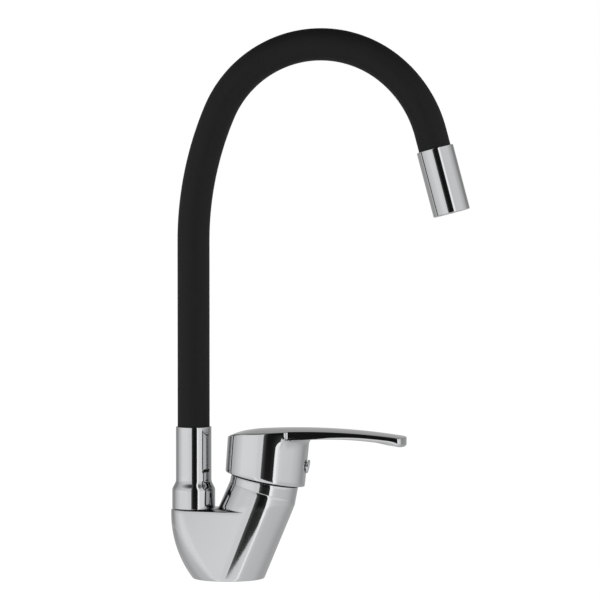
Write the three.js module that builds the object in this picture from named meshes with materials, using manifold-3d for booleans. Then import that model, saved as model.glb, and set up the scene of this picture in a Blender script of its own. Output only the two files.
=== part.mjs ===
// Single-lever kitchen faucet with a stay-put silicone spout.
// Millimetres, +Z up. The origin is the centre of the base on the sink; +X points at the user.
import * as THREE from 'three';
import { mergeVertices } from 'three/addons/utils/BufferGeometryUtils.js';
import Module from 'manifold-3d';

const wasm = await Module();
wasm.setup();

// General fits: running gap between neighbours, and how far a cutter passes a face.
const gap = 0.3;
const overrun = 2;

// Base and V-shaped body.
const baseRadius = 25.2;
const footChamfer = 0.5;
const deckHeight = 48.5;
const columnX = -24.9;
const columnRadius = 15.9;
const bellyHeight = 45;
const armLean = THREE.MathUtils.degToRad(21.45);
const armRadius = 24.6;
const mitreRise = 13.7;
const neckLean = THREE.MathUtils.degToRad(11);
const neckRadius = 23.9;
const neckLength = 8.35;
const neckRimDrop = 1.2;

// Cartridge chamber and waterways, depths measured down the cartridge axis from the lever pivot.
const cartridgeRadius = 17.4;
const chamberDepth = 27;
const nutRadius = 18.9;
const nutSeatDepth = 7.2;
const inletPortRadius = 2.9;
const outletPortRadius = 3.2;
const inletPortX = 5;
const inletPortY = 7;
const outletPortX = -7;
const supplyThreadRadius = 4.6;
const supplyThreadDepth = 13;
const supplyX = 5;
const supplyY = 8.5;
const studHoleRadius = 4;
const studHoleDepth = 16;
const studX = -12;
const sealInnerRadius = 20.6;
const sealOuterRadius = 23;
const sealDepth = 2.2;

// Cartridge pieces, tops and radii in the frame of the cartridge axis.
const gasketTop = 25.3;
const gasketRadius = 13.5;
const cartridgeBaseTop = 20.6;
const fixedDiscTop = 16.8;
const fixedDiscRadius = 15;
const movingDiscTop = 13.2;
const movingDiscRadius = 11.2;
const mixingRecessRadius = 8;
const mixingRecessX = -3.5;
const mixingRecessDepth = 1.8;
const discCarrierTop = 8.2;
const rotorRadius = 14.8;
const rotorTop = 2.8;
const rotorSlotLength = 16;
const housingWindowRadius = 11;
const housingRoof = 1.2;
const housingNeckRadius = 16.5;
const pegRadius = 1.4;
const pegDepth = 2;
const pegRing = 15.4;
const nutTop = 1.6;
const nutSlotWidth = 4;
const nutSlotDepth = 3;
const pinEndGap = 1;

// Spout swivel: spigot screwed into the body, and the chrome socket that turns on it.
const spigotRadius = 10;
const spigotBore = 4.2;
const spigotLand = 8;
const spigotThreadRadius = 8;
const spigotThreadDepth = 13;
const spigotFlangeRadius = 13;
const spigotFlangeHeight = 2.4;
const glideRingHeight = 2;
const retainerLedge = 1.8;
const retainerGrooveDepth = 1.3;
const retainerScrewRadius = 2;
const oRingRise = 7.5;
const oRingPitch = 10;
const oRingCount = 2;
const oRingRadius = 0.85;
const socketBaseRadius = 15.15;
const socketRadius = 12.5;
const socketRingHeight = 13.2;
const socketFlareHeight = 7.2;
const socketLength = 57.9;
const hoseSeatDepth = 11;

// Stay-put hose: silicone sheath over a chain of ball-and-socket links round the water hose.
const sheathRadius = 11.3;
const sheathWall = 1.4;
const routeRise = 130.6;
const routeRadii = [230, 77.5, 85];
const routeTurns = [23.1, 106, 36].map(THREE.MathUtils.degToRad);
const routeRunOut = 12;
const firstJointRise = 7.5;
const linkPitch = 31.9;
const linkCount = 13;
const ballRadius = 7.5;
const ballGap = 0.6;
const cupWall = 1.2;
const cupWrap = THREE.MathUtils.degToRad(12);
const ballCrownHeight = 3.4;
const linkNeckRadius = 5.2;
const linkBore = 4;
const linkFlareRadius = 6;
const waterHoseRadius = 3.6;
const waterHoseBore = 2.5;

// Outlet sleeve with its aerator.
const sleeveRadius = 13;
const sleeveLength = 46.2;
const sleeveEdge = 0.5;
const aeratorRadius = 11.6;
const aeratorHeight = 9;
const aeratorWall = 1.4;
const aeratorWasherHeight = 1.5;
const gridHoleRadius = 1.3;
const gridHolePitch = 3.3;
const gridThickness = 1.6;

// Lever handle: round cap with a flat blade, on the stem of the cartridge.
const capRadius = 28.2;
const capTopRadius = 28.8;
const capLean = THREE.MathUtils.degToRad(5);
const capWall = 1.8;
const capRoofHeight = 26;
const capChamfer = 1.2;
const crownHeight = 35.7;
const crownX = 24.9;
const crownRadius = 480;
const crownSideRadius = 150;
const crownBackStart = 3.5;
const crownBackRadius = 72;
const bladeThickness = 5;
const bladeReach = 99.6;
const bladeRootInset = 5;
const bladeTipHalfWidth = 15;
const bladeCornerRadius = 3.5;
const bladeEdge = 1.6;
const bladeSideFillet = 10;
const bladeRootFillet = 4.5;
const plugSeat = 27.2;
const plugShankLength = 3;
const stemHalfWidth = 3.5;
const stemTop = 24;
const stemBallDepth = 10;
const stemBallRadius = 2.4;
const stemNeckRadius = 1.9;
const bossRadius = 8;
const bossBottom = 8.5;
const setScrewHeight = 14.3;
const setScrewRadius = 2.2;
const plugRadius = 4.7;
const plugShankRadius = 3;
const plugRise = 1.2;
const pivotPinRadius = 1.5;

// Facets round a full turn.
const wideSides = 32;
const turnedSides = 20;
const smallSides = 10;
const linkSides = 10;
const keySides = 6;
const sheathSides = 14;
const hoseSides = 6;
const sheathSteps = 29;
const ballSteps = 3;
const cupSteps = 2;
const flareSteps = 5;
const crownSteps = 12;
const crownSideSteps = 6;
const taperSteps = 3;
const cornerSteps = 4;
const halvings = 40;

const chrome = { color: 0xd9dbdc, metalness: 1, roughness: 0.06 };
const brass = { color: 0xc2a356, metalness: 1, roughness: 0.35 };
const steel = { color: 0xb4b6b8, metalness: 1, roughness: 0.3 };
const ceramic = { color: 0xefefec, metalness: 0, roughness: 0.25 };
const whitePlastic = { color: 0xe6e6e2, metalness: 0, roughness: 0.5 };
const greyPlastic = { color: 0x8f9396, metalness: 0, roughness: 0.5 };
const rubber = { color: 0x1d1d1e, metalness: 0, roughness: 0.8 };
const silicone = { color: 0x222224, metalness: 0, roughness: 0.6 };
const redPlastic = { color: 0xa33a2c, metalness: 0, roughness: 0.5 };

const Y_AXIS = new THREE.Vector3(0, 1, 0);

// Solids and placing.

function solidOf(geometry) {
  const plain = geometry.index ? geometry.toNonIndexed() : geometry.clone();
  plain.deleteAttribute('normal');
  plain.deleteAttribute('uv');
  const merged = mergeVertices(plain, 1e-4);
  const mesh = new wasm.Mesh({
    numProp: 3,
    vertProperties: new Float32Array(merged.attributes.position.array),
    triVerts: new Uint32Array(merged.index.array),
  });
  return new wasm.Manifold(mesh);
}

function geometryOf(solid) {
  const mesh = solid.getMesh();
  const geometry = new THREE.BufferGeometry();
  geometry.setAttribute('position', new THREE.BufferAttribute(new Float32Array(mesh.vertProperties), 3));
  geometry.setIndex(new THREE.BufferAttribute(new Uint32Array(mesh.triVerts), 1));
  return geometry;
}

function join(...solids) {
  return solids.reduce((whole, piece) => whole.add(piece));
}

function cut(solid, ...cutters) {
  return cutters.reduce((rest, cutter) => rest.subtract(cutter), solid);
}

function part(name, shape, look) {
  const geometry = shape.isBufferGeometry ? shape : geometryOf(shape);
  const mesh = new THREE.Mesh(geometry, new THREE.MeshStandardMaterial(look));
  mesh.name = name;
  return mesh;
}

function frameAt(x, z, lean, ...children) {
  const frame = new THREE.Group();
  frame.position.set(x, 0, z);
  frame.rotation.y = lean;
  frame.add(...children);
  return frame;
}

// A turned piece about +Z: the profile is a closed list of [radius, height].
function turnedGeometry(profile, sides) {
  const points = profile.map(([radius, height]) => new THREE.Vector2(radius, height));
  if (profile[0][0] > 0) points.push(points[0].clone());
  return new THREE.LatheGeometry(points, sides).rotateX(Math.PI / 2);
}

function turned(profile, sides = turnedSides) {
  return solidOf(turnedGeometry(profile, sides));
}

// A round bar about +Z from one height to another.
function bar(radius, bottom, top, sides = turnedSides, topRadius = radius) {
  return turned([[0, bottom], [radius, bottom], [topRadius, top], [0, top]], sides);
}

function tubeRing(outer, inner, bottom, top, sides = turnedSides) {
  return turned([[inner, bottom], [outer, bottom], [outer, top], [inner, top]], sides);
}

function block(sizeX, sizeY, bottom, top) {
  const geometry = new THREE.BoxGeometry(sizeX, sizeY, top - bottom);
  return solidOf(geometry.translate(0, 0, (bottom + top) / 2));
}

function moved(solid, x, y, z) {
  return solid.translate([x, y, z]);
}

// Turned about +Y, so that +Z leans toward +X by the angle.
function leaned(solid, angle) {
  return solid.rotate([0, THREE.MathUtils.radToDeg(angle), 0]);
}

// A bar between two points, each passed by the given extension.
function drilling(radius, from, to, extension = 0) {
  const way = to.clone().sub(from);
  const geometry = new THREE.CylinderGeometry(radius, radius, way.length() + 2 * extension, smallSides);
  geometry.rotateX(Math.PI / 2);
  const turn = new THREE.Quaternion().setFromUnitVectors(new THREE.Vector3(0, 0, 1), way.normalize());
  geometry.applyQuaternion(turn);
  const middle = from.clone().add(to).multiplyScalar(0.5);
  return solidOf(geometry.translate(middle.x, middle.y, middle.z));
}

// A closed skin over rings that have the same number of points.
function loft(rings) {
  const sides = rings[0].length;
  const positions = rings.flat().flatMap((point) => [point.x, point.y, point.z]);
  const index = [];
  for (let level = 0; level + 1 < rings.length; level += 1) {
    for (let side = 0; side < sides; side += 1) {
      const a = level * sides + side;
      const b = level * sides + ((side + 1) % sides);
      index.push(a, b, b + sides, a, b + sides, a + sides);
    }
  }
  const top = (rings.length - 1) * sides;
  for (let side = 1; side + 1 < sides; side += 1) {
    index.push(0, side + 1, side, top, top + side, top + side + 1);
  }
  const geometry = new THREE.BufferGeometry();
  geometry.setAttribute('position', new THREE.Float32BufferAttribute(positions, 3));
  geometry.setIndex(index);
  return solidOf(geometry);
}

// Places that several pieces share.

const mitreHeight = deckHeight + mitreRise;
const mitreX = mitreHeight * Math.tan(armLean);
const pivotX = mitreX + neckLength * Math.sin(neckLean);
const pivotHeight = mitreHeight + neckLength * Math.cos(neckLean);
const glideBottom = deckHeight + spigotFlangeHeight + gap;
const socketShoulder = glideBottom + glideRingHeight + gap;
const retainerHeight = socketShoulder + retainerLedge + retainerScrewRadius;
const oRingHeights = Array.from({ length: oRingCount }, (_, ring) => retainerHeight + oRingRise + ring * oRingPitch);
const spigotTop = oRingHeights.at(-1) + spigotLand;
const spigotBoreRadius = spigotRadius + gap;
const socketTop = deckHeight + socketLength;
const hoseStart = socketTop - hoseSeatDepth;
const ferruleThreadRadius = 8;
const ferruleBarrelRadius = sheathRadius - sheathWall - gap;

// A point on the cartridge, given in its leaning frame, in the faucet's frame.
function atCartridge(x, y, depth) {
  const point = new THREE.Vector3(x, y, -depth).applyAxisAngle(Y_AXIS, neckLean);
  return point.add(new THREE.Vector3(pivotX, 0, pivotHeight));
}

// Body.

// One horizontal slice: round column and leaning arm with the web stretched between them.
function bodySlice(height) {
  const rise = height / deckHeight;
  const bellyWidth = columnRadius - columnX - baseRadius;
  const bellyRadius = (bellyWidth ** 2 + bellyHeight ** 2) / (2 * bellyWidth);
  const below = Math.max(0, bellyHeight - height);
  const leftEdge = columnX - columnRadius + bellyRadius - Math.sqrt(bellyRadius ** 2 - below ** 2);
  const left = THREE.MathUtils.lerp(baseRadius, columnRadius, rise);
  const armHalfX = THREE.MathUtils.lerp(baseRadius, armRadius / Math.cos(armLean), rise);
  const armHalfY = THREE.MathUtils.lerp(baseRadius, armRadius, rise);
  const armX = height * Math.tan(armLean);
  const slice = [];
  for (let side = 0; side < wideSides; side += 1) {
    const angle = (side / wideSides) * 2 * Math.PI;
    const cos = Math.cos(angle);
    const sin = Math.sin(angle);
    const armReach = Math.hypot(armHalfX * cos, armHalfY * sin);
    const onArm = armX * cos + armReach >= (leftEdge + left) * cos + left;
    slice.push(onArm
      ? new THREE.Vector3(armX + (armHalfX ** 2 * cos) / armReach, (armHalfY ** 2 * sin) / armReach, height)
      : new THREE.Vector3(leftEdge + left + left * cos, left * sin, height));
  }
  return slice;
}

// The arm's ring at the deck, carried along the arm to the mitre plane and drawn in to the neck.
function armRings() {
  const mitreLean = (armLean + neckLean) / 2;
  const along = new THREE.Vector3(Math.sin(armLean), 0, Math.cos(armLean));
  const mitreNormal = new THREE.Vector3(Math.sin(mitreLean), 0, Math.cos(mitreLean));
  const mitreCentre = new THREE.Vector3(mitreX, 0, mitreHeight);
  const armX = deckHeight * Math.tan(armLean);
  const atDeck = [];
  const atMitre = [];
  for (let side = 0; side < wideSides; side += 1) {
    const angle = (side / wideSides) * 2 * Math.PI;
    const point = new THREE.Vector3(
      armX + (armRadius / Math.cos(armLean)) * Math.cos(angle),
      armRadius * Math.sin(angle),
      deckHeight,
    );
    const distance = mitreCentre.clone().sub(point).dot(mitreNormal) / along.dot(mitreNormal);
    atDeck.push(point.clone().addScaledVector(along, -overrun));
    atMitre.push(point.addScaledVector(along, distance).lerp(mitreCentre, 1 - neckRadius / armRadius));
  }
  return [atDeck, atMitre];
}

function bodyShell() {
  const levelShares = [0.02, 0.15, 0.3, 0.5, 0.75, 1];
  const foot = bodySlice(0).map((point) => point.multiplyScalar(1 - footChamfer / baseRadius));
  const lower = loft([foot, ...levelShares.map((share) => bodySlice(share * deckHeight))]);
  const neck = leaned(bar(neckRadius, -neckLength - overrun, -neckRimDrop, wideSides), neckLean);
  return join(lower, loft(armRings()), moved(neck, pivotX, 0, pivotHeight));
}

function cartridgeChamber() {
  const chamber = bar(cartridgeRadius + gap, -chamberDepth, overrun, turnedSides);
  const nutSeat = bar(nutRadius + gap, -nutSeatDepth, overrun, turnedSides);
  const pegHoles = pegPlaces().map(([x, y]) => moved(bar(pegRadius + gap, -chamberDepth - pegDepth - gap,
    -chamberDepth + overrun, smallSides), x, y, 0));
  return moved(leaned(join(chamber, nutSeat, ...pegHoles), neckLean), pivotX, 0, pivotHeight);
}

function supplyWays() {
  return [-1, 1].flatMap((side) => {
    const port = new THREE.Vector3(supplyX, side * supplyY, 0);
    const thread = drilling(supplyThreadRadius, port.clone().setZ(-overrun), port.clone().setZ(supplyThreadDepth));
    const start = port.clone().setZ(supplyThreadDepth - supplyThreadRadius);
    const end = atCartridge(inletPortX, side * inletPortY, chamberDepth);
    return [thread, drilling(inletPortRadius, start, end, overrun / 2)];
  });
}

function spoutWay() {
  const seatBottom = deckHeight - spigotThreadDepth;
  const seat = moved(bar(spigotThreadRadius + gap, seatBottom, deckHeight + overrun), columnX, 0, 0);
  const sump = moved(bar(spigotBore, seatBottom - 2 * spigotBore, seatBottom + overrun), columnX, 0, 0);
  const low = new THREE.Vector3(columnX, 0, seatBottom - spigotBore);
  return [seat, sump, drilling(outletPortRadius, low, atCartridge(outletPortX, 0, chamberDepth), overrun / 2)];
}

function mixerBody() {
  const studHole = moved(bar(studHoleRadius, -overrun, studHoleDepth, smallSides), studX, 0, 0);
  const sealGroove = tubeRing(sealOuterRadius + gap, sealInnerRadius - gap, -overrun, sealDepth + gap, wideSides);
  return part('mixer_body', cut(bodyShell(), cartridgeChamber(), ...supplyWays(), ...spoutWay(),
    studHole, sealGroove), chrome);
}

function baseSeal() {
  return part('base_seal', tubeRing(sealOuterRadius, sealInnerRadius, 0, sealDepth, wideSides), rubber);
}

// Cartridge, in a frame whose origin is the lever pivot and whose +Z is the cartridge axis.

function pegPlaces() {
  return [1, -1].map((side) => [0, side * pegRing]);
}

function portHoles(bottom, top) {
  const hole = (radius, x, y) => moved(bar(radius, bottom - overrun, top + overrun, smallSides), x, y, 0);
  return [
    hole(inletPortRadius, inletPortX, inletPortY),
    hole(inletPortRadius, inletPortX, -inletPortY),
    hole(outletPortRadius, outletPortX, 0),
  ];
}

function portDisc(name, radius, bottom, top, look) {
  return part(name, cut(bar(radius, bottom, top), ...portHoles(bottom, top)), look);
}

function cartridgeBase() {
  const bottom = gap - gasketTop;
  const disc = cut(bar(cartridgeRadius, bottom, -cartridgeBaseTop), ...portHoles(bottom, -cartridgeBaseTop));
  const pegs = pegPlaces().map(([x, y]) => moved(bar(pegRadius, -chamberDepth - pegDepth,
    bottom + overrun, smallSides), x, y, 0));
  return part('cartridge_base', join(disc, ...pegs), whitePlastic);
}

function movingCeramicDisc() {
  const bottom = gap - fixedDiscTop;
  const recess = moved(bar(mixingRecessRadius, bottom - overrun, bottom + mixingRecessDepth), mixingRecessX, 0, 0);
  return part('moving_ceramic_disc', cut(bar(movingDiscRadius, bottom, -movingDiscTop), recess), ceramic);
}

function discCarrier() {
  const bottom = gap - movingDiscTop;
  const pocket = bar(stemBallRadius + gap, bottom - overrun, overrun - discCarrierTop, smallSides);
  return part('disc_carrier', cut(bar(movingDiscRadius, bottom, -discCarrierTop), pocket), greyPlastic);
}

function leverRotor() {
  const bottom = gap - discCarrierTop;
  const slot = block(rotorSlotLength, 2 * (stemHalfWidth + gap), bottom - overrun, rotorTop + overrun);
  const pinHole = bar(pivotPinRadius + gap, -rotorRadius - overrun, rotorRadius + overrun, smallSides);
  return part('lever_rotor', cut(bar(rotorRadius, bottom, rotorTop), slot, pinHole.rotate([90, 0, 0])), redPlastic);
}

function pivotPin() {
  const half = rotorRadius - pinEndGap;
  return part('pivot_pin', bar(pivotPinRadius, -half, half, smallSides).rotate([90, 0, 0]), steel);
}

function leverStem() {
  const shaft = block(2 * stemHalfWidth, 2 * stemHalfWidth, stemBallRadius * 2 - stemBallDepth, stemTop);
  const neck = bar(stemNeckRadius, -stemBallDepth, overrun + stemBallRadius * 2 - stemBallDepth, smallSides);
  const ball = solidOf(new THREE.SphereGeometry(stemBallRadius, smallSides, smallSides / 2));
  const pinHole = bar(pivotPinRadius + gap, -stemHalfWidth - overrun, stemHalfWidth + overrun, smallSides);
  const whole = join(shaft, neck, moved(ball, 0, 0, -stemBallDepth));
  return part('lever_stem', cut(whole, pinHole.rotate([90, 0, 0])), brass);
}

function cartridgeHousing() {
  const inner = rotorRadius + gap;
  const ceiling = rotorTop + gap;
  return part('cartridge_housing', turned([
    [inner, gap - cartridgeBaseTop],
    [cartridgeRadius, gap - cartridgeBaseTop],
    [cartridgeRadius, -nutSeatDepth],
    [housingNeckRadius, -nutSeatDepth],
    [housingNeckRadius, ceiling + housingRoof],
    [housingWindowRadius, ceiling + housingRoof],
    [housingWindowRadius, ceiling],
    [inner, ceiling],
  ]), whitePlastic);
}

function cartridgeNut() {
  const ring = tubeRing(nutRadius, housingNeckRadius + gap, gap - nutSeatDepth, nutTop);
  const slots = [0, 90].map((angle) => block(2 * nutRadius + overrun, nutSlotWidth,
    nutTop - nutSlotDepth, nutTop + overrun).rotate([0, 0, angle]));
  return part('cartridge_nut', cut(ring, ...slots), brass);
}

function cartridge() {
  return frameAt(
    pivotX, pivotHeight, neckLean,
    portDisc('cartridge_gasket', gasketRadius, gap - chamberDepth, -gasketTop, rubber),
    cartridgeBase(),
    portDisc('fixed_ceramic_disc', fixedDiscRadius, gap - cartridgeBaseTop, -fixedDiscTop, ceramic),
    movingCeramicDisc(),
    discCarrier(),
    leverRotor(),
    pivotPin(),
    leverStem(),
    cartridgeHousing(),
    cartridgeNut(),
  );
}

// Lever handle, in an upright frame whose origin is the lever pivot.

const crownAt = (x) => crownHeight - crownRadius + Math.sqrt(crownRadius ** 2 - (x - crownX) ** 2);
const sideDrop = (y) => y ** 2 / (2 * crownSideRadius);

// How far the crown falls away behind the middle of the cap, most of all on the centre line.
function backDrop(x, y) {
  const behind = Math.max(0, -crownBackStart - x);
  return (behind ** 2 / (2 * crownBackRadius)) * (1 - (y / capTopRadius) ** 2);
}

// Everything below the top face, which is crowned along the blade and across it.
function underCrown() {
  const left = -capTopRadius - overrun;
  const right = bladeReach + overrun;
  const wide = 2 * capTopRadius;
  const rings = Array.from({ length: crownSteps + 1 }, (_, step) => {
    const x = THREE.MathUtils.lerp(left, right, step / crownSteps);
    const top = Array.from({ length: crownSideSteps + 1 }, (__, side) => {
      const y = THREE.MathUtils.lerp(capTopRadius, -capTopRadius, side / crownSideSteps);
      return new THREE.Vector3(x, y, crownAt(x) - sideDrop(y) - backDrop(x, y));
    });
    return [new THREE.Vector3(x, -wide, -wide), new THREE.Vector3(x, wide, -wide), ...top];
  });
  return loft(rings);
}

// The round cap: a leaning cone with a chamfered rim and a skirt cut square to the cartridge.
function capSolid() {
  const slope = (capTopRadius - capRadius) / crownHeight;
  const rim = crownAt(-capRadius) - capChamfer;
  const outer = turned([
    [0, -capRadius],
    [capRadius - slope * capRadius, -capRadius],
    [capRadius + slope * rim, rim],
    [capRadius + slope * rim - 2 * capChamfer, rim + 2 * capChamfer],
    [0, crownHeight + 2 * overrun],
  ], wideSides);
  const room = 2 * capTopRadius;
  const skirt = leaned(block(2 * room, 2 * room, 0, 2 * room), neckLean);
  return leaned(outer, capLean).intersect(skirt);
}

// Half widths of the blade along its length: hollow off the cap, straight taper, round corner.
function bladeStations() {
  const capX = crownHeight * Math.tan(capLean);
  const corner = bladeReach - bladeCornerRadius;
  const bladeRootHalfWidth = capTopRadius - bladeRootInset;
  const taper = Math.atan2(bladeRootHalfWidth - bladeTipHalfWidth, corner - capRadius);
  const offset = (capRadius - capX) * Math.sin(taper) + bladeRootHalfWidth * Math.cos(taper);
  const reach = capTopRadius + bladeSideFillet;
  const start = Math.asin((offset + bladeSideFillet) / reach) - taper;
  const hollow = (angle) => [
    capX + reach * Math.cos(start) - bladeSideFillet * Math.cos(angle),
    reach * Math.sin(start) - bladeSideFillet * Math.sin(angle),
  ];
  const round = (angle) => [
    corner + bladeCornerRadius * Math.sin(angle),
    bladeTipHalfWidth - bladeCornerRadius * (1 - Math.cos(angle)),
  ];
  const spread = (from, to, steps, at) => Array.from({ length: steps + 1 },
    (_, step) => at(THREE.MathUtils.lerp(from, to, step / steps)));
  const hollows = spread(start, Math.PI / 2 - taper, taperSteps, hollow);
  const rounds = spread(taper, Math.PI / 2, cornerSteps, round);
  const straight = (share) => hollows.at(-1).map((value, i) => THREE.MathUtils.lerp(value, rounds[0][i], share));
  const between = spread(0, 1, crownSteps, straight).slice(1, -1);
  return [[0, hollows[0][1]], ...hollows, ...between, ...rounds];
}

// The blade below its crown: flat underside, bevelled lower edges, upright sides.
function bladeSolid() {
  const rings = bladeStations().map(([x, half]) => {
    const under = crownAt(x) - sideDrop(half) - bladeThickness;
    const top = crownHeight + overrun;
    const edge = Math.min(bladeEdge, half / 2);
    const section = [
      [-half + edge, under], [half - edge, under], [half, under + edge],
      [half, top], [-half, top], [-half, under + edge],
    ];
    return section.map(([y, z]) => new THREE.Vector3(x, y, z));
  });
  return loft(rings);
}

// The hollow fillet between the cap's wall and the underside of the blade.
function bladeRoot() {
  const under = crownHeight - bladeThickness;
  const low = under - bladeRootFillet;
  const wall = capRadius - bladeRootFillet / 2;
  const arc = arcProfile(bladeRootFillet, low, Math.PI, Math.PI / 2, ballSteps)
    .map(([radius, height]) => [capTopRadius + bladeRootFillet + radius, height]);
  const ring = turned([[wall, low], ...arc, [capTopRadius + bladeRootFillet, crownHeight], [wall, crownHeight]],
    wideSides);
  const stations = bladeStations();
  const plan = [...stations, ...stations.map(([x, half]) => [x, -half]).reverse()]
    .map(([x, y]) => new THREE.Vector2(x, y));
  const limit = new THREE.ExtrudeGeometry(new THREE.Shape(plan), { depth: crownHeight, bevelEnabled: false });
  return leaned(ring, capLean).intersect(solidOf(limit));
}

function leverHandle() {
  const bore = leaned(bar(capRadius - capWall, -capRadius, capRoofHeight, wideSides), capLean);
  const solid = join(capSolid(), bladeSolid(), bladeRoot()).intersect(underCrown());
  const shell = cut(solid, bore);
  const boss = leaned(bar(bossRadius, bossBottom, capRoofHeight + overrun), neckLean);
  const socket = block(2 * (stemHalfWidth + gap), 2 * (stemHalfWidth + gap), 0, stemTop + gap);
  const front = 2 * capRadius;
  const screwWay = bar(setScrewRadius + gap, 0, bossRadius + overrun, smallSides);
  const plugWay = bar(plugShankRadius + gap, bossRadius + overrun, front, smallSides);
  const plugFace = bar(plugRadius + gap, plugSeat, front, turnedSides);
  const fromFront = moved(join(screwWay, plugWay, plugFace).rotate([0, 90, 0]), 0, 0, setScrewHeight);
  return part('lever_handle', cut(join(shell, boss), leaned(join(socket, fromFront), neckLean)), chrome);
}

function screwCover() {
  const plug = turned([
    [0, plugSeat - plugShankLength],
    [plugShankRadius, plugSeat - plugShankLength],
    [plugShankRadius, plugSeat + gap],
    [plugRadius, plugSeat + gap],
    [plugRadius, plugSeat + plugRise],
    [plugRadius - gap, plugSeat + gap + plugRise],
    [0, plugSeat + gap + plugRise],
  ]);
  return part('screw_cover', moved(plug.rotate([0, 90, 0]), 0, 0, setScrewHeight), chrome);
}

function handleSetScrew() {
  const start = stemHalfWidth + gap;
  const screw = bar(setScrewRadius, start, bossRadius, smallSides);
  const key = bar(setScrewRadius / 2, (start + bossRadius) / 2, bossRadius + overrun, keySides);
  return part('handle_set_screw', moved(cut(screw, key).rotate([0, 90, 0]), 0, 0, setScrewHeight), steel);
}

// Spout swivel.

function spoutSpigot() {
  const ringHalf = oRingRadius + gap;
  const grooveFloor = spigotRadius - 2 * oRingRadius;
  const grooves = oRingHeights.flatMap((height) => [
    [spigotRadius, height - ringHalf],
    [grooveFloor, height - ringHalf],
    [grooveFloor, height + ringHalf],
    [spigotRadius, height + ringHalf],
  ]);
  const retainerHalf = retainerScrewRadius + gap;
  return part('spout_spigot', turned([
    [spigotBore, deckHeight - spigotThreadDepth + gap],
    [spigotThreadRadius, deckHeight - spigotThreadDepth + gap],
    [spigotThreadRadius, deckHeight + gap],
    [spigotFlangeRadius, deckHeight + gap],
    [spigotFlangeRadius, deckHeight + spigotFlangeHeight],
    [spigotRadius, deckHeight + spigotFlangeHeight],
    [spigotRadius, retainerHeight - retainerHalf],
    [spigotRadius - retainerGrooveDepth, retainerHeight - retainerHalf],
    [spigotRadius - retainerGrooveDepth, retainerHeight + retainerHalf],
    [spigotRadius, retainerHeight + retainerHalf],
    ...grooves,
    [spigotRadius, spigotTop],
    [spigotBore, spigotTop],
  ]), brass);
}

function oRing(name, height) {
  const corners = 6;
  const centre = spigotRadius + gap / 2 - oRingRadius;
  const profile = Array.from({ length: corners }, (_, corner) => {
    const angle = (corner / corners) * 2 * Math.PI;
    return [centre + oRingRadius * Math.cos(angle), height + oRingRadius * Math.sin(angle)];
  });
  return part(name, turned(profile), rubber);
}

function glideRing() {
  return part('glide_ring', tubeRing(spigotFlangeRadius, spigotBoreRadius, glideBottom,
    glideBottom + glideRingHeight), whitePlastic);
}

// Convex then hollow sweep from the wide ring up to the slim sleeve.
function flareProfile() {
  const bottom = deckHeight + socketRingHeight;
  return Array.from({ length: flareSteps + 1 }, (_, step) => {
    const share = step / flareSteps;
    const ease = THREE.MathUtils.smoothstep(share, 0, 1);
    return [
      THREE.MathUtils.lerp(socketBaseRadius, socketRadius, ease),
      bottom + share * socketFlareHeight,
    ];
  });
}

function swivelSocket() {
  const webBottom = spigotTop + gap;
  const shell = turned([
    [spigotFlangeRadius + gap, deckHeight + gap],
    [socketBaseRadius, deckHeight + gap],
    ...flareProfile(),
    [socketRadius, socketTop],
    [sheathRadius + gap, socketTop],
    [sheathRadius + gap, hoseStart - gap],
    [ferruleThreadRadius + gap, hoseStart - gap],
    [ferruleThreadRadius + gap, webBottom],
    [spigotBoreRadius, webBottom],
    [spigotBoreRadius, socketShoulder],
    [spigotFlangeRadius + gap, socketShoulder],
  ], wideSides);
  const screwHole = bar(retainerScrewRadius + gap, 0, socketBaseRadius + overrun, smallSides);
  return part('swivel_socket', cut(shell, moved(screwHole.rotate([-90, 0, 0]), 0, 0, retainerHeight)), chrome);
}

function retainerScrew() {
  const tip = spigotRadius - retainerGrooveDepth + gap;
  const screw = bar(retainerScrewRadius, tip, socketBaseRadius - gap, smallSides);
  const key = bar(retainerScrewRadius / 2, (tip + socketBaseRadius) / 2, socketBaseRadius + overrun, keySides);
  return part('spout_retaining_screw', moved(cut(screw, key).rotate([-90, 0, 0]), 0, 0, retainerHeight), steel);
}

function spoutSwivel() {
  return frameAt(
    columnX, 0, 0,
    spoutSpigot(),
    glideRing(),
    ...oRingHeights.map((height, i) => oRing(`spout_o_ring_${i + 1}`, height)),
    swivelSocket(),
    retainerScrew(),
  );
}

// Hose route: a straight rise, arcs that turn over toward the user, and a straight run-out.

class HoseRoute extends THREE.CurvePath {
  constructor() {
    super();
    const at = new THREE.Vector3(columnX, 0, hoseStart);
    const heading = new THREE.Vector3(0, 0, 1);
    const straight = (length) => {
      const end = at.clone().addScaledVector(heading, length);
      this.add(new THREE.LineCurve3(at.clone(), end));
      at.copy(end);
    };
    straight(hoseSeatDepth + routeRise);
    routeRadii.forEach((radius, i) => {
      this.add(new RouteArc(at.clone(), heading.clone(), radius, routeTurns[i]));
      at.copy(this.curves.at(-1).getPoint(1));
      heading.applyAxisAngle(Y_AXIS, routeTurns[i]);
    });
    straight(routeRunOut);
    this.end = at.clone();
    this.endHeading = heading.clone();
    straight(hoseSeatDepth);
  }
}

class RouteArc extends THREE.Curve {
  constructor(start, heading, radius, turn) {
    super();
    this.turn = turn;
    this.centre = start.clone().addScaledVector(heading.clone().applyAxisAngle(Y_AXIS, Math.PI / 2), radius);
    this.spoke = start.clone().sub(this.centre);
  }

  getPoint(share) {
    return this.centre.clone().add(this.spoke.clone().applyAxisAngle(Y_AXIS, share * this.turn));
  }
}

const route = new HoseRoute();
const routeLength = route.getLength();

function routePoint(length) {
  return route.getPointAt(length / routeLength);
}

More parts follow.
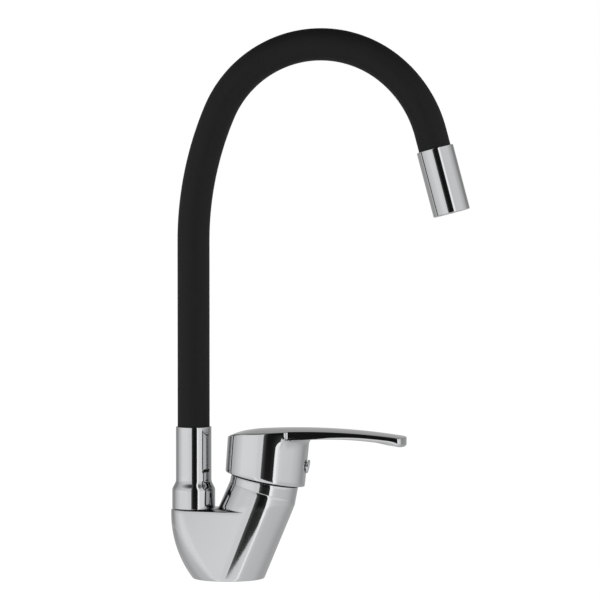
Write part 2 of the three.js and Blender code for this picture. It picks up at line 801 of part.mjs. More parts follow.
// The joints stand on the route, each one link pitch from the last in a straight line.
function jointPlaces() {
  const lengths = [hoseSeatDepth + firstJointRise];
  for (let joint = 0; joint < linkCount; joint += 1) {
    const from = routePoint(lengths.at(-1));
    let near = lengths.at(-1);
    let far = Math.min(near + 2 * linkPitch, routeLength);
    for (let halving = 0; halving < halvings; halving += 1) {
      const middle = (near + far) / 2;
      if (routePoint(middle).distanceTo(from) < linkPitch) near = middle;
      else far = middle;
    }
    lengths.push(near);
  }
  return lengths.map(routePoint);
}

const joints = jointPlaces();

// Profiles of a ball that ends a neck coming from below, and of the cup that takes one.
function arcProfile(radius, height, fromAngle, toAngle, steps) {
  return Array.from({ length: steps + 1 }, (_, step) => {
    const angle = THREE.MathUtils.lerp(fromAngle, toAngle, step / steps);
    return [radius * Math.cos(angle), height + radius * Math.sin(angle)];
  });
}

// Outside going up: out of the neck and round the ball; then back down the flared bore.
function ballProfile(height) {
  const neckAngle = -Math.acos(linkNeckRadius / ballRadius);
  const crownAngle = Math.asin(ballCrownHeight / ballRadius);
  return [
    ...arcProfile(ballRadius, height, neckAngle, crownAngle, ballSteps),
    [linkFlareRadius, height + ballCrownHeight],
    [linkBore, height],
  ];
}

// Inside going down: bore, round the cup to its lip; then outside back up to the neck.
function cupProfile(height) {
  const inner = ballRadius + ballGap;
  const outer = inner + cupWall;
  return [
    ...arcProfile(inner, height, Math.acos(linkBore / inner), -cupWrap, ballSteps),
    ...arcProfile(outer, height, -cupWrap, Math.acos(linkNeckRadius / outer), cupSteps),
  ];
}

function spineLink(number) {
  const start = joints[number - 1];
  const way = joints[number].clone().sub(start);
  const link = part(`spine_link_${String(number).padStart(2, '0')}`,
    turned([...ballProfile(linkPitch), ...cupProfile(0)], linkSides), greyPlastic);
  return frameAt(start.x, start.z, Math.atan2(way.x, way.z), link);
}

function lowerFerrule() {
  const barrelTop = socketTop - gap;
  return part('hose_ferrule_lower', turned([
    [linkBore, spigotTop + 2 * gap],
    [ferruleThreadRadius, spigotTop + 2 * gap],
    [ferruleThreadRadius, hoseStart],
    [ferruleBarrelRadius, hoseStart],
    [ferruleBarrelRadius, barrelTop],
    [linkNeckRadius, barrelTop],
    ...ballProfile(joints[0].z),
  ]), brass);
}

// In the sleeve's frame: +Z runs back up the hose and zero is the sleeve's top edge.
function upperFerrule() {
  const cupHeight = joints[linkCount].distanceTo(route.end);
  const flipped = cupProfile(0).map(([radius, height]) => [radius, cupHeight - height]);
  const tailEnd = -hoseSeatDepth - ferruleThreadRadius;
  return part('hose_ferrule_upper', turned([
    [ferruleThreadRadius, tailEnd],
    [ferruleThreadRadius, -hoseSeatDepth],
    [ferruleBarrelRadius, -hoseSeatDepth],
    [ferruleBarrelRadius, -gap],
    [linkNeckRadius, -gap],
    ...flipped.reverse(),
    [linkBore, tailEnd],
  ], linkSides), brass);
}

function hoseSection(outer, inner, outerSides, innerSides) {
  const ring = (radius, sides) => Array.from({ length: sides }, (_, side) => {
    const angle = (side / sides) * 2 * Math.PI;
    return new THREE.Vector2(radius * Math.cos(angle), radius * Math.sin(angle));
  });
  const section = new THREE.Shape(ring(outer, outerSides));
  section.holes.push(new THREE.Path(ring(inner, innerSides)));
  return section;
}

function hoseSheath() {
  const bore = (sheathRadius - sheathWall) / Math.cos(Math.PI / linkSides);
  const section = hoseSection(sheathRadius, bore, sheathSides, linkSides);
  return part('hose_sheath', solidOf(new THREE.ExtrudeGeometry(section, {
    steps: sheathSteps, bevelEnabled: false, extrudePath: route,
  })), silicone);
}

// The water hose runs straight through each link and turns at the middle of each ball.
class WaterHoseRoute extends THREE.Curve {
  constructor(stations) {
    super();
    this.stations = stations;
  }

  getUtoTmapping(share) {
    return share;
  }

  getPoint(share) {
    const place = Math.min(Math.max(share, 0), 1) * (this.stations.length - 1);
    const last = Math.min(Math.floor(place), this.stations.length - 2);
    return this.stations[last].clone().lerp(this.stations[last + 1], place - last);
  }
}

function waterHose() {
  const start = new THREE.Vector3(columnX, 0, hoseStart);
  const end = route.end.clone().addScaledVector(route.endHeading, -gap);
  const stations = [start, ...joints, end];
  const section = hoseSection(waterHoseRadius, waterHoseBore, hoseSides, hoseSides);
  return part('water_hose', solidOf(new THREE.ExtrudeGeometry(section, {
    steps: stations.length - 1, bevelEnabled: false, extrudePath: new WaterHoseRoute(stations),
  })), whitePlastic);
}

// Outlet, in the sleeve's frame.

const sleeveSeatDepth = hoseSeatDepth + ferruleThreadRadius + gap;
const aeratorTop = aeratorHeight - sleeveLength;
const washerBottom = aeratorTop + gap;
const aeratorRoom = washerBottom + aeratorWasherHeight + gap;

function outletSleeve() {
  return part('outlet_sleeve', turned([
    [aeratorRadius + gap, -sleeveLength],
    [sleeveRadius - sleeveEdge, -sleeveLength],
    [sleeveRadius, sleeveEdge - sleeveLength],
    [sleeveRadius, -sleeveEdge],
    [sleeveRadius - sleeveEdge, 0],
    [sheathRadius + gap, 0],
    [sheathRadius + gap, -gap - hoseSeatDepth],
    [ferruleThreadRadius + gap, -gap - hoseSeatDepth],
    [ferruleThreadRadius + gap, aeratorRoom],
    [aeratorRadius + gap, aeratorRoom],
  ], wideSides), chrome);
}

function aeratorWasher() {
  return part('aerator_washer', tubeRing(aeratorRadius - gap, ferruleThreadRadius, washerBottom,
    washerBottom + aeratorWasherHeight), rubber);
}

function aeratorHousing() {
  const bore = aeratorRadius - aeratorWall;
  const lip = gridThickness - gap;
  return part('aerator_housing', turned([
    [bore - aeratorWall, -sleeveLength],
    [aeratorRadius, -sleeveLength],
    [aeratorRadius, aeratorTop],
    [bore, aeratorTop],
    [bore, lip - sleeveLength],
    [bore - aeratorWall, lip - sleeveLength],
  ], wideSides), chrome);
}

// Honeycomb of round holes: a centre hole with two hexagons round it.
function gridHoles(bottom, top) {
  const places = [[0, 0]];
  [1, 2].forEach((ring) => {
    for (let step = 0; step < keySides * ring; step += 1) {
      const side = Math.floor(step / ring);
      const along = (step % ring) / ring;
      const from = (side * 2 * Math.PI) / keySides;
      const to = ((side + 1) * 2 * Math.PI) / keySides;
      places.push([
        ring * gridHolePitch * THREE.MathUtils.lerp(Math.cos(from), Math.cos(to), along),
        ring * gridHolePitch * THREE.MathUtils.lerp(Math.sin(from), Math.sin(to), along),
      ]);
    }
  });
  return places.map(([x, y]) => moved(bar(gridHoleRadius, bottom, top, keySides), x, y, 0));
}

function aeratorInsert() {
  const outer = aeratorRadius - aeratorWall - gap;
  const bottom = gridThickness - sleeveLength;
  const cup = turned([
    [0, bottom],
    [outer, bottom],
    [outer, aeratorTop - gap],
    [outer - aeratorWall, aeratorTop - gap],
    [outer - aeratorWall, bottom + gridThickness],
    [0, bottom + gridThickness],
  ]);
  return part('aerator_insert', cut(cup, ...gridHoles(bottom - overrun, bottom + overrun)), greyPlastic);
}

function outlet() {
  return frameAt(
    route.end.x, route.end.z, Math.atan2(-route.endHeading.x, -route.endHeading.z),
    upperFerrule(),
    outletSleeve(),
    aeratorWasher(),
    aeratorHousing(),
    aeratorInsert(),
  );
}

function spineLinks() {
  return Array.from({ length: linkCount }, (_, i) => spineLink(i + 1));
}

const faucet = new THREE.Group();
faucet.add(mixerBody(), baseSeal(), cartridge(), spoutSwivel());
faucet.add(frameAt(pivotX, pivotHeight, 0, leverHandle(), frameAt(0, 0, neckLean, screwCover(), handleSetScrew())));
faucet.add(frameAt(columnX, 0, 0, lowerFerrule()));
faucet.add(...spineLinks(), waterHose(), hoseSheath(), outlet());

export default faucet;
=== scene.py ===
"""A chrome kitchen faucet with a black stay-put silicone spout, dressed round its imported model."""
import math

import bmesh
import bpy
from mathutils import Matrix, Vector


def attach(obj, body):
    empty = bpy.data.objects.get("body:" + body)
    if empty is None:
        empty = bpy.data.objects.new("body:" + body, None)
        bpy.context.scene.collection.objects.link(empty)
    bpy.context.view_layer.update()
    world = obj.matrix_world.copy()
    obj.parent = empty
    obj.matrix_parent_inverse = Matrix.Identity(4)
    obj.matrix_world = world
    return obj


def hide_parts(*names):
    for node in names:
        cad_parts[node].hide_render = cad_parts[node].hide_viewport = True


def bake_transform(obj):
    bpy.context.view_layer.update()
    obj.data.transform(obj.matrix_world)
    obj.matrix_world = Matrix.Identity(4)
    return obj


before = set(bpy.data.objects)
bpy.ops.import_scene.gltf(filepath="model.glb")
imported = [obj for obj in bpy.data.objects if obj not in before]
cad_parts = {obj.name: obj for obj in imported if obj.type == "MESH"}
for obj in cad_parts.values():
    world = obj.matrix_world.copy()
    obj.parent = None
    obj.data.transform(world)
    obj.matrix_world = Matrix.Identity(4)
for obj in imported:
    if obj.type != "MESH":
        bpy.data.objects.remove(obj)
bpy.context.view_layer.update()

bpy.ops.object.select_all(action="DESELECT")

# Camera. The picture is taken from two metres away with a long lens, a little to the right of
# square on and a hand's breadth above the faucet's middle, so upright edges stay nearly parallel.
view_azimuth = math.radians(8)
view_elevation = math.radians(1.7)
view_distance = 2.2
view_width = 0.42
sensor_width = 36
toward_camera = Vector((
    math.sin(view_azimuth) * math.cos(view_elevation),
    -math.cos(view_azimuth) * math.cos(view_elevation),
    math.sin(view_elevation),
))
aim = Vector((0.0507, 0, 0.1958))
bpy.ops.object.camera_add(location=aim + view_distance * toward_camera)
camera = bpy.context.object
camera.rotation_euler = toward_camera.to_track_quat("Z", "Y").to_euler()
camera.data.sensor_width = sensor_width
camera.data.lens = sensor_width * view_distance / view_width
bpy.context.scene.camera = camera
bpy.context.scene.view_settings.view_transform = "Standard"


# Studio walls. A white tent stands round the faucet, bright in front and at its sides and greyer
# behind, with a dark ceiling over the matt hose. Below it the chrome sees a grey table with a
# bright line along its near edge. The picture's own background is plain white.
def linear(hex_colour):
    """An sRGB colour written as six hex digits, as the linear colour that a shader takes."""
    levels = [int(hex_colour[i:i + 2], 16) / 255 for i in (1, 3, 5)]
    return [c / 12.92 if c <= 0.04045 else ((c + 0.055) / 1.055) ** 2.4 for c in levels] + [1]


def empty_tree(owner):
    """The node tree of a world or a material, with nothing in it yet."""
    owner.use_nodes = True
    owner.node_tree.nodes.clear()
    return owner.node_tree


def add_node(tree, kind, settings=(), links=()):
    """A shader node with its settings, and links from other nodes' outputs into its inputs."""
    node = tree.nodes.new(kind)
    for name, value in dict(settings).items():
        if isinstance(name, str) and hasattr(node, name):
            setattr(node, name, value)
        else:
            node.inputs[name].default_value = value
    for name, output in dict(links).items():
        tree.links.new(output, node.inputs[name])
    return node


def set_ramp(node, stops):
    """Fills a colour ramp with grey levels, each at its place from 0 to 1."""
    ramp = node.color_ramp
    while len(ramp.elements) > 1:
        ramp.elements.remove(ramp.elements[-1])
    for i, (place, level) in enumerate(stops):
        element = ramp.elements[0] if i == 0 else ramp.elements.new(place)
        element.position = place
        element.color = (level, level, level, 1)


# Levels of walls and table by where a direction points, from straight behind (0) to in front (1).
wall_levels = [
    (0, 0.47), (0.02, 0.45), (0.067, 0.38), (0.134, 0.36), (0.228, 0.37), (0.33, 0.6), (0.42, 0.75),
    (0.578, 0.92), (0.63, 1.0), (0.72, 1.0), (0.883, 1.0), (0.95, 0.9), (1, 0.9),
]
table_levels = [
    (0, 0.5), (0.25, 0.5), (0.5, 0.68), (0.84, 0.74), (0.9, 0.84), (0.908, 1.25), (0.922, 1.25),
    (0.932, 0.95), (0.975, 0.9), (1, 0.88),
]
# The walls' dimming by height, from the horizon (0) to straight up (1).
ceiling_levels = [(0.03, 1), (0.2, 0.84), (0.6, 0.8), (0.77, 0.06), (1, 0)]
table_fade_bottom, table_fade_top = -0.34, -0.06
line_bottom, line_top = -0.19, -0.10
line_levels = [(0, 0), (0.3, 0), (0.5, 0.1), (0.7, 0), (1, 0)]

world = bpy.data.worlds.new("studio_tent")
bpy.context.scene.world = world
tent = empty_tree(world)
direction = add_node(tent, "ShaderNodeTexCoord")
facing = add_node(tent, "ShaderNodeVectorMath", {
    "operation": "DOT_PRODUCT", 1: (math.sin(view_azimuth), -math.cos(view_azimuth), 0),
}, {0: direction.outputs["Generated"]})
share = add_node(tent, "ShaderNodeMapRange", {"From Min": -1, "From Max": 1},
                 {0: facing.outputs["Value"]})
walls = add_node(tent, "ShaderNodeValToRGB", (), {0: share.outputs[0]})
set_ramp(walls, wall_levels)
table_seen = add_node(tent, "ShaderNodeValToRGB", (), {0: share.outputs[0]})
set_ramp(table_seen, table_levels)
heading = add_node(tent, "ShaderNodeSeparateXYZ", (), {0: direction.outputs["Generated"]})
above = add_node(tent, "ShaderNodeMapRange",
                 {"From Min": table_fade_bottom, "From Max": table_fade_top},
                 {0: heading.outputs["Z"]})
surround = add_node(tent, "ShaderNodeMix", {"data_type": "RGBA"}, {
    0: above.outputs[0], 6: table_seen.outputs[0], 7: walls.outputs[0],
})
upper_dimming = add_node(tent, "ShaderNodeValToRGB", (), {0: heading.outputs["Z"]})
set_ramp(upper_dimming, ceiling_levels)
dimmed = add_node(tent, "ShaderNodeVectorMath", {"operation": "SCALE"}, {
    0: surround.outputs[2], "Scale": upper_dimming.outputs[0],
})
line_height = add_node(tent, "ShaderNodeMapRange", {"From Min": line_bottom, "From Max": line_top},
                       {0: heading.outputs["Z"]})
faint_line = add_node(tent, "ShaderNodeValToRGB", (), {0: line_height.outputs[0]})
set_ramp(faint_line, line_levels)
lit = add_node(tent, "ShaderNodeVectorMath", {"operation": "ADD"}, {
    0: dimmed.outputs[0], 1: faint_line.outputs[0],
})
tent_light = add_node(tent, "ShaderNodeBackground", {"Strength": 1}, {"Color": lit.outputs[0]})
plain_white = add_node(tent, "ShaderNodeBackground", {"Color": (1, 1, 1, 1), "Strength": 1})
tent_path = add_node(tent, "ShaderNodeLightPath")
tent_mix = add_node(tent, "ShaderNodeMixShader", (), {
    0: tent_path.outputs["Is Camera Ray"], 1: tent_light.outputs[0], 2: plain_white.outputs[0],
})
add_node(tent, "ShaderNodeOutputWorld", (), {0: tent_mix.outputs[0]})

# Floor and flag. The faucet stands on a pale matt table, which fades into the white background
# for the lens alone. A flag of black cloth stands in front, a little to the right of the lens.
# The chrome mirrors it as the dark stripe down every piece, and its white strip as the bright one.
floor_size = 9
table_strength, table_share = 1.12, 0.88
bpy.ops.mesh.primitive_plane_add(size=floor_size)
floor = bpy.context.object
floor.name = "table_top"
floor.visible_glossy = False
table_paint = bpy.data.materials.new("table_matt_paint")
paint = empty_tree(table_paint)
matt = add_node(paint, "ShaderNodeBsdfDiffuse", {"Color": linear("#e6e6e6")})
glow = add_node(paint, "ShaderNodeEmission", {"Color": (1, 1, 1, 1), "Strength": table_strength})
paint_path = add_node(paint, "ShaderNodeLightPath")
seen_share = add_node(paint, "ShaderNodeMath", {"operation": "MULTIPLY", 1: table_share},
                      {0: paint_path.outputs["Is Camera Ray"]})
paint_mix = add_node(paint, "ShaderNodeMixShader", (), {
    0: seen_share.outputs[0], 1: matt.outputs[0], 2: glow.outputs[0],
})
add_node(paint, "ShaderNodeOutputMaterial", (), {0: paint_mix.outputs[0]})
floor.data.materials.append(table_paint)

flag_width = 0.8
flag_left_bottom, flag_right_bottom, flag_top = -0.119, -0.337, 1.6
flag_distance = 0.93
flag_azimuth = view_azimuth + math.radians(10.4)
foot_glow, foot_glow_bottom, foot_glow_top = 0.05, -0.3, -0.02
# Levels across the cloth, from its left edge (0) to its right edge (1), where the strip is.
cloth_levels = [
    (0, 0.16), (0.05, 0.1), (0.16, 0.04), (0.26, 0.012), (0.5, 0.008), (0.7, 0.02), (0.73, 0.05),
    (0.75, 1.25), (0.86, 1.3), (0.97, 1.0),
]
flag_cloth = bpy.data.materials.new("flag_black_cloth")
cloth = empty_tree(flag_cloth)
cloth_place = add_node(cloth, "ShaderNodeTexCoord")
cloth_split = add_node(cloth, "ShaderNodeSeparateXYZ", (), {0: cloth_place.outputs["Object"]})
cloth_share = add_node(cloth, "ShaderNodeMapRange",
                       {"From Min": -flag_width / 2, "From Max": flag_width / 2},
                       {0: cloth_split.outputs["X"]})
cloth_ramp = add_node(cloth, "ShaderNodeValToRGB", (), {0: cloth_share.outputs[0]})
set_ramp(cloth_ramp, cloth_levels)
cloth_foot = add_node(cloth, "ShaderNodeMapRange", {
    "From Min": foot_glow_bottom, "From Max": foot_glow_top, "To Min": foot_glow, "To Max": 0,
}, {0: cloth_split.outputs["Y"]})
cloth_tone = add_node(cloth, "ShaderNodeVectorMath", {"operation": "ADD"}, {
    0: cloth_ramp.outputs[0], 1: cloth_foot.outputs[0],
})
cloth_glow = add_node(cloth, "ShaderNodeEmission", (), {"Color": cloth_tone.outputs[0]})
add_node(cloth, "ShaderNodeOutputMaterial", (), {0: cloth_glow.outputs[0]})

bpy.ops.mesh.primitive_plane_add(size=1)
flag = bpy.context.object
flag.name = "black_flag"
for corner in flag.data.vertices:
    foot = flag_left_bottom if corner.co.x < 0 else flag_right_bottom
    corner.co = (corner.co.x * flag_width, foot if corner.co.y < 0 else flag_top, 0)
flag.rotation_euler = (math.pi / 2, 0, flag_azimuth)
flag.location = (
    flag_distance * math.sin(flag_azimuth), -flag_distance * math.cos(flag_azimuth), 0,
)
flag.data.materials.append(flag_cloth)
flag.visible_camera = False
flag.visible_shadow = False
flag.visible_diffuse = False

# Soft lamps. Two square soft boxes stand low at either side of the lens. They shape the matt hose
# and lay a faint shadow on the table, and they don't show in the chrome.
lamp_size = 0.5
for name, place, power in (
    ("lamp_left", (-1.2, -0.8, 0.3), 9),
    ("lamp_right", (1.2, -0.9, 0.3), 8),
):
    bpy.ops.object.light_add(type="AREA", location=place)
    lamp = bpy.context.object
    lamp.name = name
    lamp.data.size = lamp_size
    lamp.data.energy = power
    lamp.rotation_euler = (Vector(place) - aim).to_track_quat("Z", "Y").to_euler()
    lamp.visible_glossy = False

# Mixer body. One brass casting with a round foot, the upright column that carries the spout, and
# the leaning arm and neck that hold the cartridge. Ground smooth, polished and chrome plated.
# Sizes are in millimetres from here on, and MM turns them to metres.
MM = 0.001
weld_distance = 1e-7
smooth_angle = math.radians(38)


def finish_mesh(piece, name, material, angle=smooth_angle):
    """Welds the piece, turns its faces outwards, shades it smooth and gives it its material."""
    bpy.ops.object.mode_set(mode="EDIT")
    bpy.ops.mesh.select_all(action="SELECT")
    bpy.ops.mesh.remove_doubles(threshold=weld_distance)
    bpy.ops.mesh.dissolve_degenerate(threshold=weld_distance)
    bpy.ops.mesh.delete_loose(use_verts=True, use_edges=True, use_faces=False)
    bpy.ops.mesh.select_all(action="SELECT")
    bpy.ops.mesh.normals_make_consistent(inside=False)
    bpy.ops.object.mode_set(mode="OBJECT")
    bpy.ops.object.shade_smooth_by_angle(angle=angle)
    piece.name = name
    piece.data.name = name
    piece.data.materials.clear()
    piece.data.materials.append(material)
    return piece


def grow_rings(rings):
    """A skin grown ring by ring: a circle of edges is added, then extruded and moved to each next
    ring's places, which are given in millimetres."""
    count = len(rings[0])
    bpy.ops.object.select_all(action="DESELECT")
    bpy.ops.mesh.primitive_circle_add(vertices=count)
    piece = bpy.context.object
    for vertex, place in zip(piece.data.vertices, rings[0]):
        vertex.co = Vector(place) * MM
    bpy.ops.object.mode_set(mode="EDIT")
    bpy.ops.mesh.select_all(action="SELECT")
    last = list(range(count))
    for ring in rings[1:]:
        bpy.ops.mesh.extrude_edges_move()
        mesh = bmesh.from_edit_mesh(piece.data)
        mesh.verts.ensure_lookup_table()
        grown = []
        for i, place in zip(last, ring):
            vertex = next(e.other_vert(mesh.verts[i]) for e in mesh.verts[i].link_edges
                          if e.other_vert(mesh.verts[i]).select)
            vertex.co = Vector(place) * MM
            grown.append(vertex.index)
        bmesh.update_edit_mesh(piece.data)
        last = grown
    bpy.ops.object.mode_set(mode="OBJECT")
    return piece


def move_to(piece, matrix):
    """Applies a placing to the piece's mesh, so that its object stays at the origin."""
    piece.data.transform(matrix)
    piece.data.update()


def round_cutter(radius, length, foot, matrix=Matrix.Identity(4), sides=48):
    """A round bar to cut with, in millimetres, that stands on its foot along the matrix's Z."""
    bpy.ops.object.select_all(action="DESELECT")
    bpy.ops.mesh.primitive_cylinder_add(vertices=sides, radius=radius * MM, depth=length * MM)
    cutter = bpy.context.object
    x, y, z = foot
    move_to(cutter, matrix @ Matrix.Translation(Vector((x, y, z + length / 2)) * MM))
    return cutter


def cut_with(piece, cutters, angle=smooth_angle):
    """Takes each cutter's shape out of the piece, and shades the piece smooth again."""
    bpy.ops.object.select_all(action="DESELECT")
    bpy.context.view_layer.objects.active = piece
    piece.select_set(True)
    for cutter in cutters:
        cutting = piece.modifiers.new("cut", "BOOLEAN")
        cutting.operation = "DIFFERENCE"
        cutting.solver = "EXACT"
        cutting.object = cutter
        bpy.ops.object.modifier_apply(modifier=cutting.name)
        bpy.data.objects.remove(cutter)
    bpy.ops.object.shade_smooth_by_angle(angle=angle)


def clouded(tree, place, noise, dark, light):
    """A noise over the piece, and the colour that it clouds from a darker to a lighter one."""
    cloud = add_node(tree, "ShaderNodeTexNoise", noise, {"Vector": place})
    colour = add_node(tree, "ShaderNodeMix", {
        "data_type": "RGBA", 6: linear(dark), 7: linear(light),
    }, {0: cloud.outputs[0]})
    return cloud.outputs[0], colour.outputs[2]


def relief(tree, place, scale, strength, depth):
    """The bent light of a fine grain or ripple, from a noise of that depth in metres."""
    grain = add_node(tree, "ShaderNodeTexNoise", {"Scale": scale, "Detail": 2}, {"Vector": place})
    bump = add_node(tree, "ShaderNodeBump", {"Strength": strength, "Distance": depth},
                    {"Height": grain.outputs[0]})
    return bump.outputs[0]


def plated_chrome():
    """Bright nickel-chrome plating on polished brass: a cool mirror. The ground surface under it
    ripples faintly, in waves of about 6 mm, and wiping leaves a haze in patches of about 26 mm."""
    material = bpy.data.materials.new("chrome_plating")
    tree = empty_tree(material)
    place = add_node(tree, "ShaderNodeTexCoord").outputs["Object"]
    haze, tint = clouded(tree, place, {"Scale": 38, "Detail": 4, "Roughness": 0.6},
                         "#cdced0", "#d2d2d3")
    polish = add_node(tree, "ShaderNodeMapRange", {
        "From Min": 0.35, "From Max": 0.75, "To Min": 0.035, "To Max": 0.075,
    }, {0: haze})
    plating = add_node(tree, "ShaderNodeBsdfPrincipled", {"Metallic": 1}, {
        "Base Color": tint, "Roughness": polish.outputs[0],
        "Normal": relief(tree, place, 160, 0.05, 0.0001),
    })
    add_node(tree, "ShaderNodeOutputMaterial", (), {0: plating.outputs[0]})
    return material


chrome = plated_chrome()

foot_radius, foot_edge = 25.2, 0.5
groove_inner, groove_outer, groove_depth = 20.3, 23.3, 2.5
deck_height, deck_rim, rim_run_in = 48.5, 0.9, 5
column_x, column_radius, belly_height = -24.9, 15.9, 45
arm_lean, arm_radius = math.radians(21.45), 24.6
arm_fillet, fillet_run_in = 3.5, math.radians(38)
mitre_height = 62.2
mitre_support, mitre_draw_in, mitre_drop, mitre_rise = 0.35, 0.004, 0.08, 0.05
neck_lean, neck_radius, neck_length = math.radians(11), 23.9, 8.35
neck_edge, rim_drop = 0.5, 1.2
chamber_radius, chamber_depth = 17.7, 27
nut_seat_radius, nut_seat_depth = 19.2, 7.2
spigot_seat_radius, spigot_seat_depth = 8.3, 13
stud_hole_radius, stud_hole_x, stud_hole_top = 4, -12, 16
inlet_radius, inlet_x, inlet_y, inlet_top = 4.6, 5, 8.5, 13
stud_cut, deep_cut = 36, 30
arm_points, web_points, column_points = 96, 14, 76
edge_steps, wall_steps, deck_steps, fillet_steps, arm_steps, neck_steps = 4, 26, 4, 7, 5, 4


def mix(a, b, share):
    return a + (b - a) * share


def ease(share):
    """A smooth step from 0 to 1."""
    share = min(max(share, 0), 1)
    return share * share * (3 - 2 * share)


def quarter(steps):
    """The angles of a quarter round in equal steps, without its start."""
    return [step / steps * math.pi / 2 for step in range(1, steps + 1)]


def level_way(turn):
    """The level direction at a turn from +X toward +Y."""
    return Vector((math.cos(turn), math.sin(turn), 0))


def leaning_way(lean):
    """The direction that leans from +Z toward +X."""
    return Vector((math.sin(lean), 0, math.cos(lean)))


def narrow(low, high, goes_on, halvings=50):
    """Halves the range from low to high until it closes on the value up to which goes_on holds."""
    for _ in range(halvings):
        middle = (low + high) / 2
        if goes_on(middle):
            low = middle
        else:
            high = middle
    return low


def column_at(height):
    """Centre and radius of the column's round at a height; its outer side swells like a belly."""
    width = column_radius - column_x - foot_radius
    swell = (width ** 2 + belly_height ** 2) / (2 * width)
    below = max(0, belly_height - height)
    radius = mix(foot_radius, column_radius, height / deck_height)
    return column_x - column_radius + swell - math.sqrt(swell ** 2 - below ** 2) + radius, radius


def arm_point(height, turn):
    """A point on the arm at a height, where the level turn is its outward direction."""
    rise = min(height / deck_height, 1)
    half_x = mix(foot_radius, arm_radius / math.cos(arm_lean), rise)
    half_y = mix(foot_radius, arm_radius, rise)
    reach = math.hypot(half_x * math.cos(turn), half_y * math.sin(turn))
    return Vector((height * math.tan(arm_lean) + half_x ** 2 * math.cos(turn) / reach,
                   half_y ** 2 * math.sin(turn) / reach, height))


def column_point(height, turn):
    centre, radius = column_at(height)
    return Vector((centre + radius * math.cos(turn), radius * math.sin(turn), height))


def web_turn(height):
    """The outward direction of the flat web, which touches both the arm and the column."""
    def arm_leads(turn):
        out = level_way(turn)
        return arm_point(height, turn).dot(out) > column_point(height, turn).dot(out)

    return narrow(math.pi / 2, math.pi, arm_leads)


lowest_web = foot_radius / 100


def body_ring(height, inset=0):
    """One level of the body: arm, web, column, web. The rim inset draws in all but the arm."""
    turn = web_turn(max(height, lowest_web))
    ring = [arm_point(height, mix(-turn, turn, i / arm_points)) for i in range(arm_points + 1)]
    corner = column_point(height, turn)
    length = (corner - ring[-1]).length
    web = []
    for i in range(1, web_points):
        place = ring[-1].lerp(corner, i / web_points)
        web.append(place - inset * ease(i / web_points * length / rim_run_in) * level_way(turn))
    column = []
    for i in range(column_points + 1):
        here = mix(turn, 2 * math.pi - turn, i / column_points)
        column.append(column_point(height, here) - inset * level_way(here))
    return ring + web + column + [Vector((p.x, -p.y, p.z)) for p in reversed(web)]


ring_count = arm_points + 1 + column_points + 1 + 2 * (web_points - 1)
deck_turn = web_turn(deck_height)


def arm_ring(rise, fillet=True):
    """The whole arm at a rise above the deck, with the hollow fillet that meets the deck."""
    ring = [arm_point(deck_height + rise, mix(-deck_turn, deck_turn, i / arm_points))
            for i in range(arm_points + 1)]
    behind = ring_count - arm_points - 1
    for i in range(behind):
        turn = mix(deck_turn, 2 * math.pi - deck_turn, (i + 1) / (behind + 1))
        away = min(turn - deck_turn, 2 * math.pi - deck_turn - turn)
        radius = arm_fillet * ease(away / fillet_run_in)
        hollow = radius - math.sqrt(max(0, radius ** 2 - max(0, radius - rise) ** 2))
        stand_out = (hollow if fillet else 0) * level_way(turn)
        ring.append(arm_point(deck_height + rise, turn) + stand_out)
    return ring


def level_ring(radius, height, turns):
    """A level circle with its points at the given turns."""
    return [Vector((radius * math.cos(turn), radius * math.sin(turn), height)) for turn in turns]


def rings_between(first, last, steps):
    """The rings that lie in equal steps between two rings."""
    return [[a.lerp(b, i / steps) for a, b in zip(first, last)] for i in range(1, steps)]


# Under the foot, with the groove for its seal, then up the wall and over the deck's rim.
foot_turns = [math.atan2(place.y, place.x) for place in body_ring(deck_height / 3)]
body_rings = [level_ring(radius, height, foot_turns) for radius, height in (
    (0, 0), (groove_inner, 0), (groove_inner, groove_depth), (groove_outer, groove_depth),
    (groove_outer, 0), (foot_radius - foot_edge, 0),
)]
for angle in quarter(edge_steps)[:-1]:
    shrink = 1 - foot_edge * (1 - math.sin(angle)) / foot_radius
    body_rings.append([Vector((p.x * shrink, p.y * shrink, p.z))
                       for p in body_ring(foot_edge * (1 - math.cos(angle)))])
wall_height = deck_height - deck_rim - foot_edge
body_rings += [body_ring(foot_edge + wall_height * i / wall_steps) for i in range(wall_steps + 1)]
for angle in quarter(edge_steps):
    body_rings.append(body_ring(deck_height - deck_rim * (1 - math.sin(angle)),
                                deck_rim * (1 - math.cos(angle))))
body_rings += rings_between(body_rings[-1], arm_ring(0), deck_steps)
for angle in [0] + quarter(fillet_steps):
    body_rings.append(arm_ring(arm_fillet * (1 - math.cos(angle))))

# Up the arm to its mitre with the neck, whose crease is a hair's breadth wide.
mitre_x = mitre_height * math.tan(arm_lean)
mitre_centre = Vector((mitre_x, 0, mitre_height))
mitre_normal = leaning_way((arm_lean + neck_lean) / 2)
arm_way, neck_way = leaning_way(arm_lean), leaning_way(neck_lean)


def meet_mitre(place, way):
    """Where a line through the place, along the way, meets the plane of the mitre."""
    return place + way * (mitre_centre - place).dot(mitre_normal) / way.dot(mitre_normal)


top_of_fillet = arm_ring(arm_fillet, False)
at_mitre = [meet_mitre(place, arm_way).lerp(mitre_centre, 1 - neck_radius / arm_radius)
            for place in top_of_fillet]
body_rings += rings_between(top_of_fillet, at_mitre, arm_steps)
body_rings.append([p - mitre_support * arm_way for p in at_mitre])
body_rings.append([p.lerp(mitre_centre, mitre_draw_in) - mitre_drop * arm_way for p in at_mitre])

# Up the neck and over its rim, then down the seat of the nut and the cartridge's chamber.
pivot = Vector((mitre_x + neck_length * math.sin(neck_lean), 0,
                mitre_height + neck_length * math.cos(neck_lean)))
to_neck = Matrix.Translation(pivot) @ Matrix.Rotation(neck_lean, 4, "Y")
from_neck = to_neck.inverted()
neck_turns = [math.atan2(p.y, p.x) for p in (from_neck @ place for place in at_mitre)]


